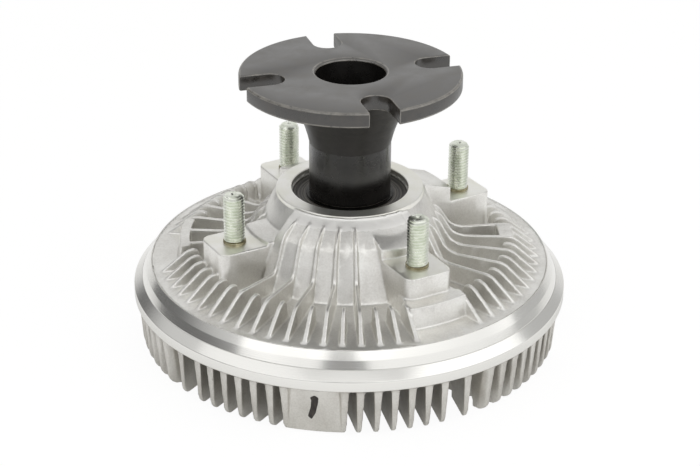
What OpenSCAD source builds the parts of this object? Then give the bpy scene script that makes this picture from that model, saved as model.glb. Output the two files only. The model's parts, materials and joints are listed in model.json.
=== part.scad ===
// Viscous fan clutch: a finned housing that turns freely on a flanged drive shaft.
// Millimetres. The axis is Z, the fins stand on z = 0 and the drive flange is on top.
// Azimuths are counted from the front (-Y) and grow towards +X.

/* [Rim] */
// Radius of the turned rim
rim_r = 105; // [102:0.5:110]
// Height of the upright band of the rim
rim_band_h = 5.4; // [4.8:0.1:7]
// Height of the sloped shoulder above the band
rim_shoulder_h = 3.9; // [3.4:0.1:4.6]
// Wall of the rim beside the housing's edge
rim_wall = 3; // [2.6:0.1:3.6]
// How far the rolled lip reaches over the housing's edge
lip_w = 1.1; // [0.8:0.1:1.5]
// Thickness of the rolled lip at its tip
lip_t = 2.4; // [2:0.1:2.8]
// Height of the housing's seat above the rim's lower edge
seat_h = 2.5; // [2.2:0.1:3]

/* [Cover] */
// Height of the fins under the rim
fin_h = 24.5; // [23:0.5:30]
// Thickness of the cover's plate under the fluid store
plate_wall = 5; // [4:0.2:6]
// Radius of the flat middle of the cover's underside
plate_flat_r = 66; // [60:1:72]
// How far the fins' upper ends lie inside the rim
fin_inset = 1.6; // [1:0.1:2.5]
// How far the fins' outer edges lean inwards over their height
fin_lean = 1.8; // [1:0.1:3]
// Radius of the fins' lower outer corners
fin_corner_r = 5; // [3:0.5:7]
// Thickness of a fin at its root
fin_root_t = 3.9; // [3:0.1:4.4]
// Thickness of a fin at its tip
fin_tip_t = 1.8; // [1.4:0.1:2.8]
// Distance between neighbouring fins of a group
fin_pitch = 7.8; // [7.2:0.1:8.2]
// Distance of the odd last fin of the first kind of group from the group's middle
fin_last = 31; // [30:0.5:32]
// Radius of the bare middle of the cover's underside
fin_bare_r = 40; // [36:1:46]
// Azimuth of the marked block between two groups of fins
block_azimuth = -8.5; // [-20:0.5:20]
// Width of a block's flat face
block_w = 24.5; // [22:0.5:27]
// Depth of a block's flat face behind the fins beside it
block_recess = 1.5; // [0.5:0.1:2]
// How far a group of fins stays inside its sector's edges
sector_inset = 4.1; // [3.6:0.1:4.6]

/* [Fluid store] */
// Radius of the fluid store
store_r = 66; // [62:0.5:68]
// Depth of the fluid store under the separator plate
store_h = 2.9; // [2.7:0.1:3.4]
// Thickness of the separator plate
separator_t = 1.6; // [1.2:0.1:2]
// Width of the ledge that carries the separator plate
separator_ledge = 2; // [1.5:0.1:3]
// Number of screws that hold the separator plate
screw_count = 6; // [4:1:8]
// Radius of the screw circle
screw_circle_r = 61.5; // [60:0.5:62]
// Radius of the posts under the screws
screw_post_r = 3.6; // [3:0.1:4]
// Radius of a screw's thread
screw_r = 1.5; // [1.2:0.1:1.8]
// How far a screw reaches under the separator plate
screw_len = 1.8; // [1.4:0.1:2.2]
// Radius of a screw's head
screw_head_r = 2.8; // [2.4:0.1:3.2]
// Height of a screw's head
screw_head_h = 1.4; // [1:0.1:1.8]
// Radius of the port that the valve opens
port_r = 3; // [2:0.2:4]
// Distance of the port from the axis
port_circle_r = 50; // [44:0.5:51]
// Length of the pump dam
dam_len = 14; // [10:0.5:16]
// Width of the pump dam
dam_w = 6; // [5:0.5:7]
// Radius of the pump dam's corners
dam_corner_r = 2; // [1:0.1:2.4]
// How far the pump dam's middle lies inside the fluid store's wall
dam_inset = 4.5; // [4:0.1:6]

/* [Valve] */
// Radius of the valve spindle
spindle_r = 4; // [3.5:0.1:5]
// Radius of the spindle's boss on the cover
spindle_boss_r = 10; // [9:0.5:12]
// How far the spindle's boss stands under the plate
spindle_boss_h = 5.5; // [4:0.5:6]
// Width of the spindle's thrust head beside the spindle
spindle_head_w = 2.5; // [2:0.1:3]
// Thickness of the spindle's clip
spindle_clip_t = 0.8; // [0.6:0.1:1]
// Wall of the spindle's seal
spindle_seal_w = 2; // [1.5:0.1:2.5]
// Height of the spindle's seal
spindle_seal_h = 2; // [1.5:0.1:2.5]
// Step from the spindle to the pin that carries the arm
arm_pin_step = 1.5; // [1:0.1:2]
// Thickness of the valve arm
arm_t = 1.2; // [1:0.1:1.4]
// Width of the valve arm
arm_w = 10; // [8:0.5:12]
// Gap from the valve arm's end to the screw posts
arm_gap = 2; // [1.5:0.1:3]
// Thickness of the bimetal strip
strip_t = 1.1; // [0.9:0.1:1.3]
// Width of the bimetal strip
strip_w = 7; // [5:0.5:7.5]
// Inner radius of the wound strip
coil_in_r = 7.2; // [6.8:0.1:8]
// Distance between turns of the wound strip
coil_pitch = 3.4; // [3:0.1:4]
// Turns of the wound strip
coil_turns = 4; // [3:1:5]
// Radius of the post that holds the strip's outer end
coil_post_r = 3.4; // [3:0.1:4]

/* [Housing] */
// Radial width of the turned sloping band
band_w = 4.45; // [3.5:0.05:5]
// Height of the turned sloping band
band_h = 7.4; // [6:0.1:9]
// Depth of the step from the turned band to the cast face
band_step = 0.4; // [0.2:0.1:0.8]
// Width of the bare cast ring outside the ribs
cast_ring_w = 3.2; // [2:0.1:4.5]
// Rise of the cast face from the band to the cone's foot
face_rise = 2.4; // [1:0.2:4]
// Radius of the cone's foot
cone_foot_r = 51; // [50:0.5:53]
// How far the collar's wall flares before the cone
collar_flare = 5.5; // [4.5:0.1:6]
// Height of the collar's flared wall
collar_wall_h = 13; // [11:0.5:15]
// Height of the collar's face above the turned band
collar_h = 35.9; // [34:0.5:38]
// Wall of the collar round the bearing
collar_wall = 4.3; // [3.5:0.1:5.5]
// Radius of the opening in the collar's lip
lip_r = 28; // [27.5:0.1:29]
// Thickness of the collar's lip over the bearing
bearing_lip_h = 3.1; // [2.5:0.1:4]
// Chamfer on turned edges
edge_chamfer = 0.6; // [0.3:0.1:1]
// Wall between the working chamber and the joint with the rim
chamber_wall = 11.4; // [10.5:0.1:12.5]
// Radius of the hollow's foot under the cone
hollow_foot_r = 45; // [42:0.5:46]

/* [Ribs] */
// Ribs in each quarter of the housing
ribs_per_quarter = 17; // [15:2:19]
// Height of the ribs' level tops above the turned band
rib_h = 10.5; // [8:0.1:12]
// Radial run of the ribs' outer slope
rib_slope_run = 14; // [12:0.5:16]
// Radius of the bend at the foot of the long ribs' steep part
rib_kink_r = 55.5; // [54.5:0.5:57]
// Radial length of that bend
rib_kink_w = 5.5; // [4.5:0.1:6.5]
// Rise of that bend over the level tops
rib_kink_h = 2; // [1:0.1:3]
// How far the long ribs' heads stand out from the collar's wall
rib_head_w = 3.2; // [2.5:0.1:4]
// Drop of the long ribs' heads below the collar's wall
rib_head_drop = 0.8; // [0.4:0.1:1.5]
// Reach of the rounding at the bends of the ribs
rib_round = 2.2; // [1.2:0.1:2.4]
// Length of the short ribs' level top and rounded start
rib_short_len = 6.5; // [5:0.5:9]
// Lean of the short ribs' steep start
rib_lean = 1.5; // [1:0.1:2.5]
// Thickness of a rib at the cast face
rib_root_t = 2.3; // [2:0.1:3.2]
// Thickness of a rib level with the collar
rib_tip_t = 1; // [0.8:0.1:1.6]
// Left end of the smooth front cone, azimuth
cone_from = -46; // [-48:1:-42]
// Right end of the smooth front cone in the web of the first stud, azimuth
cone_to = 41; // [36:0.5:42]
// Height of the low ribs on the smooth front cone
cone_rib_h = 1.5; // [1:0.1:2]
// Radial width of the front cone's gentle shoulder
shoulder_w = 8.7; // [7:0.1:10]
// Drop of the front cone's gentle shoulder
shoulder_drop = 5.6; // [4.5:0.1:7]
// Radial width of the front cone's brow below the shoulder
brow_w = 4; // [3:0.1:5]
// Drop of the front cone's brow
brow_drop = 5.5; // [4.5:0.1:7]
// How far the front cone's foot lies outside the plain cone's foot
cone_reach = 7; // [6:0.1:9]
// Drop of the front cone's upper edge under the collar's face
cone_start_drop = 2; // [1:0.1:3]

/* [Bosses and studs] */
// Radius of the stud circle
stud_circle_r = 62; // [61:0.5:63]
// Azimuth of the first stud
stud_azimuth = 30; // [28:1:32]
// Radius of a stud's thread
stud_r = 5; // [4:0.5:5.5]
// Length of a stud above its seat
stud_len = 24.4; // [18:0.2:32]
// Depth of a stud in its boss
stud_depth = 16; // [12:0.5:17]
// Mean radius of a stud's thread in its boss
stud_root_r = 4.5; // [3.6:0.1:4.8]
// Chamfer of a stud's end
stud_chamfer = 1.4; // [0.8:0.1:2]
// Radius of a stud's sealing collar
stud_collar_r = 5.4; // [5.1:0.05:5.8]
// Height of a stud's sealing collar
stud_collar_h = 1.2; // [0.8:0.1:2]
// Height of the milled boss tops above the turned band
boss_h = 20.7; // [19:0.1:22]
// Radial length of a boss
boss_len = 22.7; // [21:0.1:24]
// Width of a boss
boss_w = 24; // [22:0.5:26]
// Radius of a boss's corners
boss_corner_r = 4.5; // [3:0.5:6]
// Outward offset of a boss from its stud
boss_offset = 0.9; // [0:0.1:2]
// Width of the web from a boss to the collar
web_w = 24; // [16:0.5:26]
// How far a web reaches into its boss
web_reach = 6; // [4.5:0.1:8]
// Radius of the turned step between the milled boss tops and their webs
step_r = 51.6; // [50:0.1:52.5]
// Height of the step at each boss, from the first stud on
web_step = [4.2, 7, 7, 1.4]; // [1:0.1:8]
// Rise of each web from the step to the collar, from the first stud on
web_rise = [9, 6, 6, 0.6]; // [0.2:0.1:10]
// Half angle of the solid foot under the front right boss
foot_half_angle = 10.4; // [9:0.1:12]
// Azimuth of the lone pad on the left
pad_azimuth = -89.6; // [-95:0.1:-85]
// Half angle of the lone pad
pad_half_angle = 10.6; // [9:0.1:13]
// How far the lone pad reaches inside the bend of the ribs
pad_in = 1.8; // [0.5:0.1:3]
// How far the pads' upper edge lies outside the bend of the ribs
pad_out = 2.8; // [2:0.1:3.5]
// Outward run of the pads' steep outer face
pad_draft = 1.6; // [0.5:0.1:4]
// Azimuth of the low web between two long ribs on the right
low_web_azimuth = 93.5; // [90:0.1:97]
// Half angle of the low web
low_web_half_angle = 5.2; // [4.5:0.1:6]
// Radial length of the low web
low_web_len = 6.5; // [4:0.5:9]
// Drop of the low web under the ribs' level tops
low_web_drop = 0.4; // [0.2:0.1:3]

/* [Drive shaft] */
// Radius of the drive flange
flange_r = 52.3; // [48:0.1:56]
// Thickness of the drive flange
flange_t = 7.3; // [6:0.1:9]
// Height of the flange's face above the collar
shaft_rise = 58.5; // [50:0.5:70]
// Width of the flange's open slots
slot_w = 14; // [12:0.5:16]
// Radius of the circle through the slots' round ends
slot_circle_r = 39; // [36:0.5:42]
// Azimuth of the first slot
slot_azimuth = 107.2; // [90:0.1:125]
// Radius of the pilot bore
pilot_r = 16.5; // [14:0.1:17]
// Depth of the pilot bore
pilot_depth = 26; // [15:1:35]
// Chamfer of the pilot bore
pilot_chamfer = 1; // [0.5:0.1:2]
// Radius of the neck
neck_r = 19.5; // [19:0.1:20.4]
// Radius of the neck's flare under the flange
flare_r = 23; // [21:0.1:26]
// Height of the neck's flare
flare_h = 10.5; // [6:0.5:14]
// Radius of the rotor's seat on the shaft
rotor_seat_r = 15; // [13:0.1:16]
// Thickness of the shaft's retaining clips
clip_t = 1.5; // [1.2:0.1:1.8]
// Depth of the grooves for the retaining clips
clip_depth = 1.2; // [0.8:0.1:1.6]
// Height of the retaining clips over their seats
clip_h = 2.2; // [1.5:0.1:2.8]

/* [Bearing] */
// Bore radius of the bearing
bearing_bore_r = 17.5; // [17.2:0.1:18]
// Outer radius of the bearing
bearing_r = 31; // [30.5:0.1:31.5]
// Width of the bearing
bearing_w = 14; // [13:0.1:15]
// Thickness of the inner race
inner_race_t = 3.4; // [3:0.1:3.6]
// Thickness of the outer race
outer_race_t = 3.4; // [3:0.1:3.6]
// Radius of a bearing ball
ball_r = 3.97; // [3.7:0.01:4.1]
// Number of bearing balls
ball_count = 11; // [8:1:12]
// Thickness of the bearing seals
seal_t = 1; // [0.8:0.1:1.4]
// How far the seals lie inside the bearing's faces
seal_inset = 0.4; // [0.2:0.1:0.8]

/* [Rotor] */
// Thickness of the rotor's grooved rim
rotor_t = 6.4; // [5:0.1:7]
// Thickness of the rotor's web
rotor_web_t = 4; // [3:0.1:5]
// Radius of the rotor's hub
rotor_hub_r = 24; // [21:0.5:27]
// Height of the rotor's hub above the web
rotor_hub_h = 12.5; // [10:0.5:15]
// Depth of the recess for the clip in the rotor's hub
clip_recess = 2; // [1.6:0.1:3]
// Radial gap round the rotor
rotor_gap = 1.5; // [1:0.1:2]
// Axial gap at each face of the rotor
face_gap = 0.8; // [0.6:0.1:1]
// Number of ridges on each face of the rotor
ridge_count = 4; // [2:1:5]
// Width of a ridge
ridge_w = 1.6; // [1.2:0.1:1.8]
// Height of a ridge
ridge_h = 2; // [1.5:0.1:2.2]
// Distance between ridges
ridge_pitch = 3.6; // [3.4:0.1:4]
// Gap at each side of a ridge in its groove
ridge_gap = 0.5; // [0.4:0.05:0.6]
// Least wall between the separator plate and the grooves
groove_wall = 1.5; // [1:0.1:1.8]
// Number of holes through the rotor's web
rotor_hole_count = 6; // [4:1:8]
// Radius of the holes through the rotor's web
rotor_hole_r = 3.5; // [2:0.5:5]

/* [Fits] */
// Gap at pressed and clamped seats
seat_gap = 0.02; // [0.01:0.01:0.05]
// Gap at sliding fits
slide_gap = 0.06; // [0.04:0.01:0.1]
// Gap between parts that turn past each other
run_gap = 0.3; // [0.25:0.05:0.4]
// Radius of the cover's sealing ring section
seal_section_r = 0.95; // [0.8:0.05:1]

/* [Hidden] */
$fn = 96;

// How far cutting shapes run past what they cut
cut = 1;
// How far shapes are sunk into the wall that they grow from
bury = 2;
aluminium = "silver";
steel = "gray";
black_steel = [0.22, 0.21, 0.20];
rubber = [0.10, 0.10, 0.10];

// Heights of the rim and the joint between cover and housing
z_rim = fin_h;
z_seat = z_rim + seat_h;
z_band = z_rim + rim_band_h;
z_joint = z_band + rim_shoulder_h;
z_ledge = z_joint - lip_t;
z_edge = z_joint + band_h;
cup_r = rim_r - rim_wall;
joint_r = cup_r - lip_w;
band_r = joint_r - band_w;

// Housing's cast face, collar and ribs
z_face = z_edge - band_step;
z_foot = z_face + face_rise;
z_collar = z_edge + collar_h;
z_flare = z_collar - collar_wall_h;
collar_r = bearing_r + collar_wall;
cone_top_r = collar_r + collar_flare;
rib_end_r = band_r - cast_ring_w;
rib_bend_r = rib_end_r - rib_slope_run;
pad_r = rib_bend_r + pad_out;
z_rib = z_edge + rib_h;
rib_pitch = 90 / ribs_per_quarter;

// Smooth front cone: a gentle shoulder, a steep face and its foot
shoulder_r = collar_r + shoulder_w;
brow_r = shoulder_r + brow_w;
cone_end_r = cone_foot_r + cone_reach;
z_shoulder = z_collar - shoulder_drop;
z_brow = z_shoulder - brow_drop;
front_cone_top = [[collar_r - cut, z_collar - cone_start_drop], [shoulder_r, z_shoulder], [brow_r, z_brow],
    [cone_end_r, z_foot]];

// Studs and bosses
z_boss = z_edge + boss_h;
boss_mid_r = stud_circle_r + boss_offset;
boss_in_r = boss_mid_r - boss_len / 2;
boss_out_r = boss_mid_r + boss_len / 2;
z_stud_end = z_boss + stud_len;

// Bearing and shaft
z_bearing_top = z_collar - bearing_lip_h;
z_bearing = z_bearing_top - bearing_w;
z_bearing_mid = z_bearing + bearing_w / 2;
race_in_r = bearing_bore_r + inner_race_t;
race_out_r = bearing_r - outer_race_t;
pitch_r = (race_in_r + race_out_r) / 2;
z_top = z_collar + shaft_rise;
z_flange = z_top - flange_t;

// Rotor and working chamber
chamber_r = joint_r - chamber_wall;
rotor_r = chamber_r - rotor_gap;
z_rotor = z_seat + face_gap;
z_rotor_top = z_rotor + rotor_t;
z_ceiling = z_rotor_top + face_gap;
z_web = z_rotor + (rotor_t - rotor_web_t) / 2;
z_hub_top = z_web + rotor_web_t + rotor_hub_h;
z_clip_seat = z_web + clip_recess;
z_rotor_clip = z_clip_seat - clip_t;
z_shaft_end = z_rotor_clip - clip_t / 2;

// Fluid store, valve and coil
z_separator = z_seat - separator_t;
z_store = z_separator - store_h;
z_plate = z_store - plate_wall;
separator_r = store_r + separator_ledge;
dam_circle_r = store_r - dam_inset;
z_arm = z_separator - run_gap - arm_t;
spindle_head_h = z_arm - z_store - run_gap;
spindle_head_r = spindle_r + spindle_head_w;
spindle_seal_r = spindle_r + spindle_seal_w;
arm_pin_r = spindle_r - arm_pin_step;
arm_len = screw_circle_r - screw_post_r - arm_gap;
z_spindle_boss = z_plate - spindle_boss_h;
z_spindle_clip = z_spindle_boss - run_gap - spindle_clip_t;
z_coil_top = z_spindle_clip - run_gap;
z_coil = z_coil_top - strip_w;
z_spindle = z_coil - run_gap;
coil_slot = strip_t + run_gap;
coil_out_r = coil_in_r + coil_pitch * coil_turns;
coil_end_azimuth = 180;
port_azimuth = 0;
seal_ring_r = (chamber_r + cup_r) / 2;

// Outer radii of the labyrinth's ridges, which follow each other inwards up to the separator plate
ridge_places = [for (i = [0 : ridge_count - 1])
    let (outer = rotor_r - ridge_w - i * ridge_pitch)
    if (outer - ridge_w - ridge_gap > separator_r + groove_wall) outer];
rotor_rim_r = rotor_r - len(ridge_places) * ridge_pitch - 2 * ridge_w;

// Half angle of the sector that a group of fins fills, and the groups' fins across it
sector_half = 22.5;
fin_top_r = rim_r - fin_inset;
end_fin = fin_top_r * sin(sector_half) - block_w / 2 * cos(sector_half) - fin_root_t / 2;
first_kind = concat([-end_fin], [for (i = [-2.5 : 2.5]) i * fin_pitch], [fin_last]);
second_kind = concat([for (i = [-4.5 : 2.5]) i * fin_pitch], [end_fin]);

// Short ribs beside each boss before the long ones begin
short_ribs = 3;
// Steps that round a bend of a rib
bend_steps = 2;
// Upper edge of the ribs' outer part: level top, bend and outer slope
rib_outer_top = [[rib_bend_r, z_rib], [rib_end_r, z_face]];
// Long rib from the collar: steep part, bend, level top and outer slope
long_rib_start = [[cone_top_r - bury, z_flare + bury], [cone_top_r + rib_head_w, z_flare - rib_head_drop],
    [rib_kink_r - rib_kink_w, z_rib + rib_kink_h], [rib_kink_r, z_rib]];
long_rib_corners = concat(long_rib_start, rib_outer_top);
// Long rib that ends in the lone pad
inner_rib_corners = concat(long_rib_start, [rib_outer_top[0]]);
// Long rib on the smooth front cone: low on the cone, then at full height
front_rib_corners = concat(
    [[shoulder_r - bury, z_shoulder + bury / 2],
        [shoulder_r + cone_rib_h, z_shoulder + cone_rib_h / 2],
        [brow_r + cone_rib_h, z_brow + cone_rib_h], [rib_kink_r, z_rib]],
    rib_outer_top);
// Short rib: steep start, short level top and outer slope
rib_short_r = rib_bend_r - rib_short_len;
short_rib_corners = concat(
    [[rib_short_r, z_face], [rib_short_r + rib_lean, z_rib]],
    rib_outer_top);

// Turns a shape that points along +X to an azimuth
module at_azimuth(azimuth) {
    rotate([0, 0, azimuth - 90])
        children();
}

// A flat ring of square section
module flat_ring(inner, outer, z, height) {
    translate([0, 0, z])
        difference() {
            cylinder(r = outer, h = height);
            translate([0, 0, -cut])
                cylinder(r = inner, h = height + 2 * cut);
        }
}

// A retaining ring with a gap between its ends
module clip_ring(inner, outer, z, gap) {
    difference() {
        flat_ring(inner, outer, z, clip_t);
        translate([0, -gap / 2, z - cut])
            cube([outer + cut, gap, clip_t + 2 * cut]);
    }
}

// A plate with its outline in the radial plane, its middle on the azimuth
module radial_plate(outline, thickness) {
    rotate([90, 0, 0])
        translate([0, 0, -thickness / 2])
            linear_extrude(thickness)
                polygon(outline);
}

// A bar along +X whose cross section tapers upwards or downwards
module tapered_bar(low_t, high_t, low, high, length) {
    rotate([90, 0, 90])
        linear_extrude(length)
            polygon([[-low_t / 2, low], [low_t / 2, low], [high_t / 2, high], [-high_t / 2, high]]);
}

// A rectangle with true round corners, middle at the origin
module rounded_rectangle(length, width, radius) {
    square([length, width - 2 * radius], center = true);
    square([length - 2 * radius, width], center = true);
    for (x = [-1, 1], y = [-1, 1])
        translate([x * (length / 2 - radius), y * (width / 2 - radius)])
            circle(radius);
}

// Points that round one corner of an outline between two neighbours
function rounded_corner(before, corner, after, reach, steps) =
    let (
        from = corner + (before - corner) / norm(before - corner) * reach,
        to = corner + (after - corner) / norm(after - corner) * reach
    )
    [for (i = [0 : steps])
        let (t = i / steps)
        (1 - t) * (1 - t) * from + 2 * t * (1 - t) * corner + t * t * to];

// Outline that runs through the corners, with every inner corner rounded
function rounded_path(corners, reach, steps) =
    let (last = len(corners) - 1)
    concat(
        [corners[0]],
        [for (i = [1 : last - 1])
            each rounded_corner(corners[i - 1], corners[i], corners[i + 1], reach, steps)],
        [corners[last]]
    );

// One rib under the corners of its upper edge, with the sides tapered for the mould
module rib(corners) {
    upper_edge = rounded_path(corners, rib_round, bend_steps);
    first = corners[0];
    last = corners[len(corners) - 1];
    outline = concat(upper_edge, [[last[0], z_face - cut], [cone_foot_r, z_face - cut],
        [first[0], first[1] - cut]]);
    intersection() {
        radial_plate(outline, rib_root_t);
        tapered_bar(rib_root_t, rib_tip_t, z_face - cut, z_collar, rim_r);
    }
}

// True where the middle of a rib would lie inside a solid foot or pad
function in_pad(azimuth, middle, half_angle) =
    let (away = abs((azimuth - middle + 540) % 360 - 180))
    away + rib_pitch / 5 < half_angle;

function is_bare(azimuth) =
    in_pad(azimuth, stud_azimuth, foot_half_angle) || in_pad(azimuth, pad_azimuth, pad_half_angle);

function is_long(quarter, place) =
    let (odd_quarter = quarter % 2)
    place > short_ribs && place < ribs_per_quarter - short_ribs && place % 2 == 1 - odd_quarter;

// Upper edge of a long rib: low on the smooth front cone, ended at the lone pad
function long_rib(quarter, azimuth) =
    quarter == 3 ? front_rib_corners : is_bare(azimuth) ? inner_rib_corners : long_rib_corners;

module housing_ribs() {
    for (quarter = [0 : 3], place = [0 : ribs_per_quarter - 1]) {
        azimuth = stud_azimuth + 90 * quarter + rib_pitch * place;
        at_azimuth(azimuth)
            if (is_long(quarter, place))
                rib(long_rib(quarter, azimuth));
            else if (!is_bare(azimuth))
                rib(short_rib_corners);
    }
}

// A sector of a turned shape, its middle on the azimuth
module turned_sector(outline, middle, half_angle) {
    rotate([0, 0, middle - half_angle - 90])
        rotate_extrude(angle = 2 * half_angle)
            polygon(outline);
}

// Smooth cone across the front, between the two front bosses
module front_cone() {
    outline = concat(front_cone_top, [[cone_end_r, z_face - cut], [collar_r - cut, z_face - cut]]);
    turned_sector(outline, (cone_from + cone_to) / 2, (cone_to - cone_from) / 2);
}

// Solid foot or pad as high as the ribs' level tops, with a steep outer face
module rib_pad(inner, outer, top, middle, half_angle) {
    outline = [[inner, z_face - cut], [inner, top], [outer, top], [outer + pad_draft, z_face],
        [outer + pad_draft, z_face - cut]];
    turned_sector(outline, middle, half_angle);
}

// Boss with its milled top, and the web that ties it to the collar behind a turned step
module stud_boss(step, rise) {
    web_in_r = collar_r - bury;
    web_out_r = boss_in_r + web_reach;
    z_step = z_boss + step;
    translate([boss_mid_r, 0, z_ceiling])
        linear_extrude(z_boss - z_ceiling)
            rounded_rectangle(boss_len, boss_w, boss_corner_r);
    difference() {
        radial_plate([[web_in_r, z_foot], [web_in_r, z_step + rise], [step_r, z_step],
            [web_out_r, z_step], [web_out_r, z_foot]], web_w);
        flat_ring(step_r, boss_out_r, z_boss, collar_h);
    }
}

module stud_places() {
    for (i = [0 : 3])
        at_azimuth(stud_azimuth + 90 * i)
            translate([stud_circle_r, 0, 0])
                children();
}

// Turned and cast body of the housing before it is hollowed
module housing_body() {
    rotate_extrude()
        polygon([[0, z_seat], [cup_r - seat_gap, z_seat], [cup_r - seat_gap, z_ledge], [joint_r, z_ledge],
            [joint_r, z_joint], [band_r, z_edge], [band_r - band_step, z_face], [cone_foot_r, z_foot],
            [cone_top_r, z_flare], [collar_r, z_collar - edge_chamfer], [collar_r - edge_chamfer, z_collar],
            [0, z_collar]]);
}

// Rings of the labyrinth at a height, widened by a gap
module ridge_rings(z, height, gap) {
    for (outer = ridge_places)
        flat_ring(outer - ridge_w - gap, outer + gap, z, height);
}

// Working chamber, hollow under the cone, bearing seat and lip
module housing_hollow() {
    seat_r = bearing_r + seat_gap;
    rotate_extrude()
        polygon([[0, z_seat - cut], [chamber_r, z_seat - cut], [chamber_r, z_ceiling],
            [hollow_foot_r, z_ceiling], [seat_r + clip_t / 2, z_bearing - 4 * clip_t],
            [seat_r, z_bearing - 3 * clip_t], [seat_r, z_bearing - clip_t],
            [seat_r + clip_h, z_bearing - clip_t], [seat_r + clip_h, z_bearing],
            [seat_r, z_bearing], [seat_r, z_bearing_top], [lip_r, z_bearing_top],
            [lip_r, z_collar - edge_chamfer / 2], [lip_r + edge_chamfer, z_collar + edge_chamfer / 2],
            [0, z_collar + edge_chamfer / 2]]);
    ridge_rings(z_ceiling - cut, ridge_h + cut, ridge_gap);
}

module rear_housing() {
    color(aluminium)
        difference() {
            union() {
                housing_body();
                front_cone();
                for (i = [0 : 3])
                    at_azimuth(stud_azimuth + 90 * i)
                        stud_boss(web_step[i], web_rise[i]);
                rib_pad(boss_mid_r, pad_r, z_rib, stud_azimuth, foot_half_angle);
                rib_pad(rib_bend_r - pad_in, pad_r, z_rib, pad_azimuth, pad_half_angle);
                rib_pad(rib_bend_r - low_web_len, rib_bend_r, z_rib - low_web_drop, low_web_azimuth,
                    low_web_half_angle);
                housing_ribs();
            }
            housing_hollow();
            stud_places()
                translate([0, 0, z_boss - stud_depth - run_gap])
                    cylinder(r = stud_root_r, h = stud_depth + run_gap + cut);
        }
}

module fan_studs() {
    color("lightgray")
        stud_places() {
            translate([0, 0, z_boss - stud_depth])
                cylinder(r = stud_root_r - seat_gap, h = stud_depth + cut);
            translate([0, 0, z_boss])
                cylinder(r = stud_collar_r, h = stud_collar_h);
            translate([0, 0, z_boss])
                cylinder(r = stud_r, h = stud_len - stud_chamfer);
            translate([0, 0, z_stud_end - stud_chamfer])
                cylinder(r1 = stud_r, r2 = stud_r - stud_chamfer, h = stud_chamfer);
        }
}

// One fin along +X, tapered downwards, with a blunt lower edge
module fin(offset_y) {
    blunt = fin_tip_t / 4;
    translate([0, offset_y, 0])
        rotate([90, 0, 90])
            linear_extrude(rim_r)
                polygon([[-fin_root_t / 2, z_rim], [fin_root_t / 2, z_rim], [fin_tip_t / 2, blunt],
                    [blunt, 0], [-blunt, 0], [-fin_tip_t / 2, blunt]]);
}

// An eighth of the cover seen from below, a little inside its two edges
module fin_sector() {
    half_w = rim_r * tan(sector_half);
    linear_extrude(z_rim)
        polygon([[sector_inset, 0], [sector_inset + rim_r, half_w], [sector_inset + rim_r, -half_w]]);
}

// A group of parallel fins
module fin_group(offsets) {
    intersection() {
        union()
            for (y = offsets)
                fin(y);
        fin_sector();
    }
}

// Wedge-shaped block between two groups, with a flat outer face
module fin_block() {
    face_x = fin_top_r - fin_lean - block_recess;
    half_w = block_w / 2;
    linear_extrude(z_rim)
        polygon([[face_x - half_w / tan(sector_half), 0], [face_x, -half_w], [face_x, half_w]]);
}

// Room that the fins fill: leaning outer edge, round lower corner, bare middle
module fin_envelope() {
    low_r = fin_top_r - fin_lean;
    corner_steps = 4;
    rotate_extrude()
        polygon(concat(
            [[fin_bare_r, z_rim], [fin_top_r, z_rim]],
            rounded_corner([fin_top_r, z_rim], [low_r, 0], [fin_bare_r, 0], fin_corner_r, corner_steps),
            [[fin_bare_r + fin_corner_r, 0], [fin_bare_r, fin_corner_r]]));
}

module cover_fins() {
    intersection() {
        union()
            for (half = [0, 1])
                at_azimuth(block_azimuth + 180 * half) {
                    for (side = [0, 1])
                        mirror([0, side, 0]) {
                            rotate([0, 0, sector_half])
                                fin_group(first_kind);
                            rotate([0, 0, 3 * sector_half])
                                fin_group(second_kind);
                        }
                    fin_block();
                    rotate([0, 0, 90])
                        fin_block();
                }
        fin_envelope();
    }
}

// Turned body of the cover with its rolled rim
module cover_body() {
    foot = 1;
    rotate_extrude()
        polygon([[0, z_plate], [plate_flat_r, z_plate], [fin_top_r - foot, z_rim - foot],
            [rim_r - edge_chamfer, z_rim], [rim_r, z_rim + edge_chamfer], [rim_r, z_band],
            [joint_r + seat_gap, z_joint], [0, z_joint]]);
}

// Cup for the housing's edge, fluid store and the seat of the separator plate
module cover_hollow() {
    rotate_extrude()
        polygon([[0, z_store], [store_r, z_store], [store_r, z_separator],
            [separator_r + seat_gap, z_separator], [separator_r + seat_gap, z_seat],
            [cup_r, z_seat], [cup_r, z_ledge],
            [joint_r + seat_gap, z_ledge], [joint_r + seat_gap, z_joint + cut], [0, z_joint + cut]]);
    ridge_rings(z_seat - ridge_h, ridge_h + cut, ridge_gap);
    flat_ring(seal_ring_r - seal_section_r, seal_ring_r + seal_section_r, z_seat - 2 * seal_section_r,
        2 * seal_section_r + cut);
}

// Places the separator plate's screws
module screw_places() {
    for (i = [0 : screw_count - 1])
        at_azimuth(360 / screw_count * (i + 0.5))
            translate([screw_circle_r, 0, 0])
                children();
}

// Post that the strip's outer end is hooked into
module coil_post() {
    at_azimuth(coil_end_azimuth)
        translate([coil_out_r + coil_post_r - strip_t, 0, z_coil])
            cylinder(r = coil_post_r, h = z_plate - z_coil + cut);
}

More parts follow.
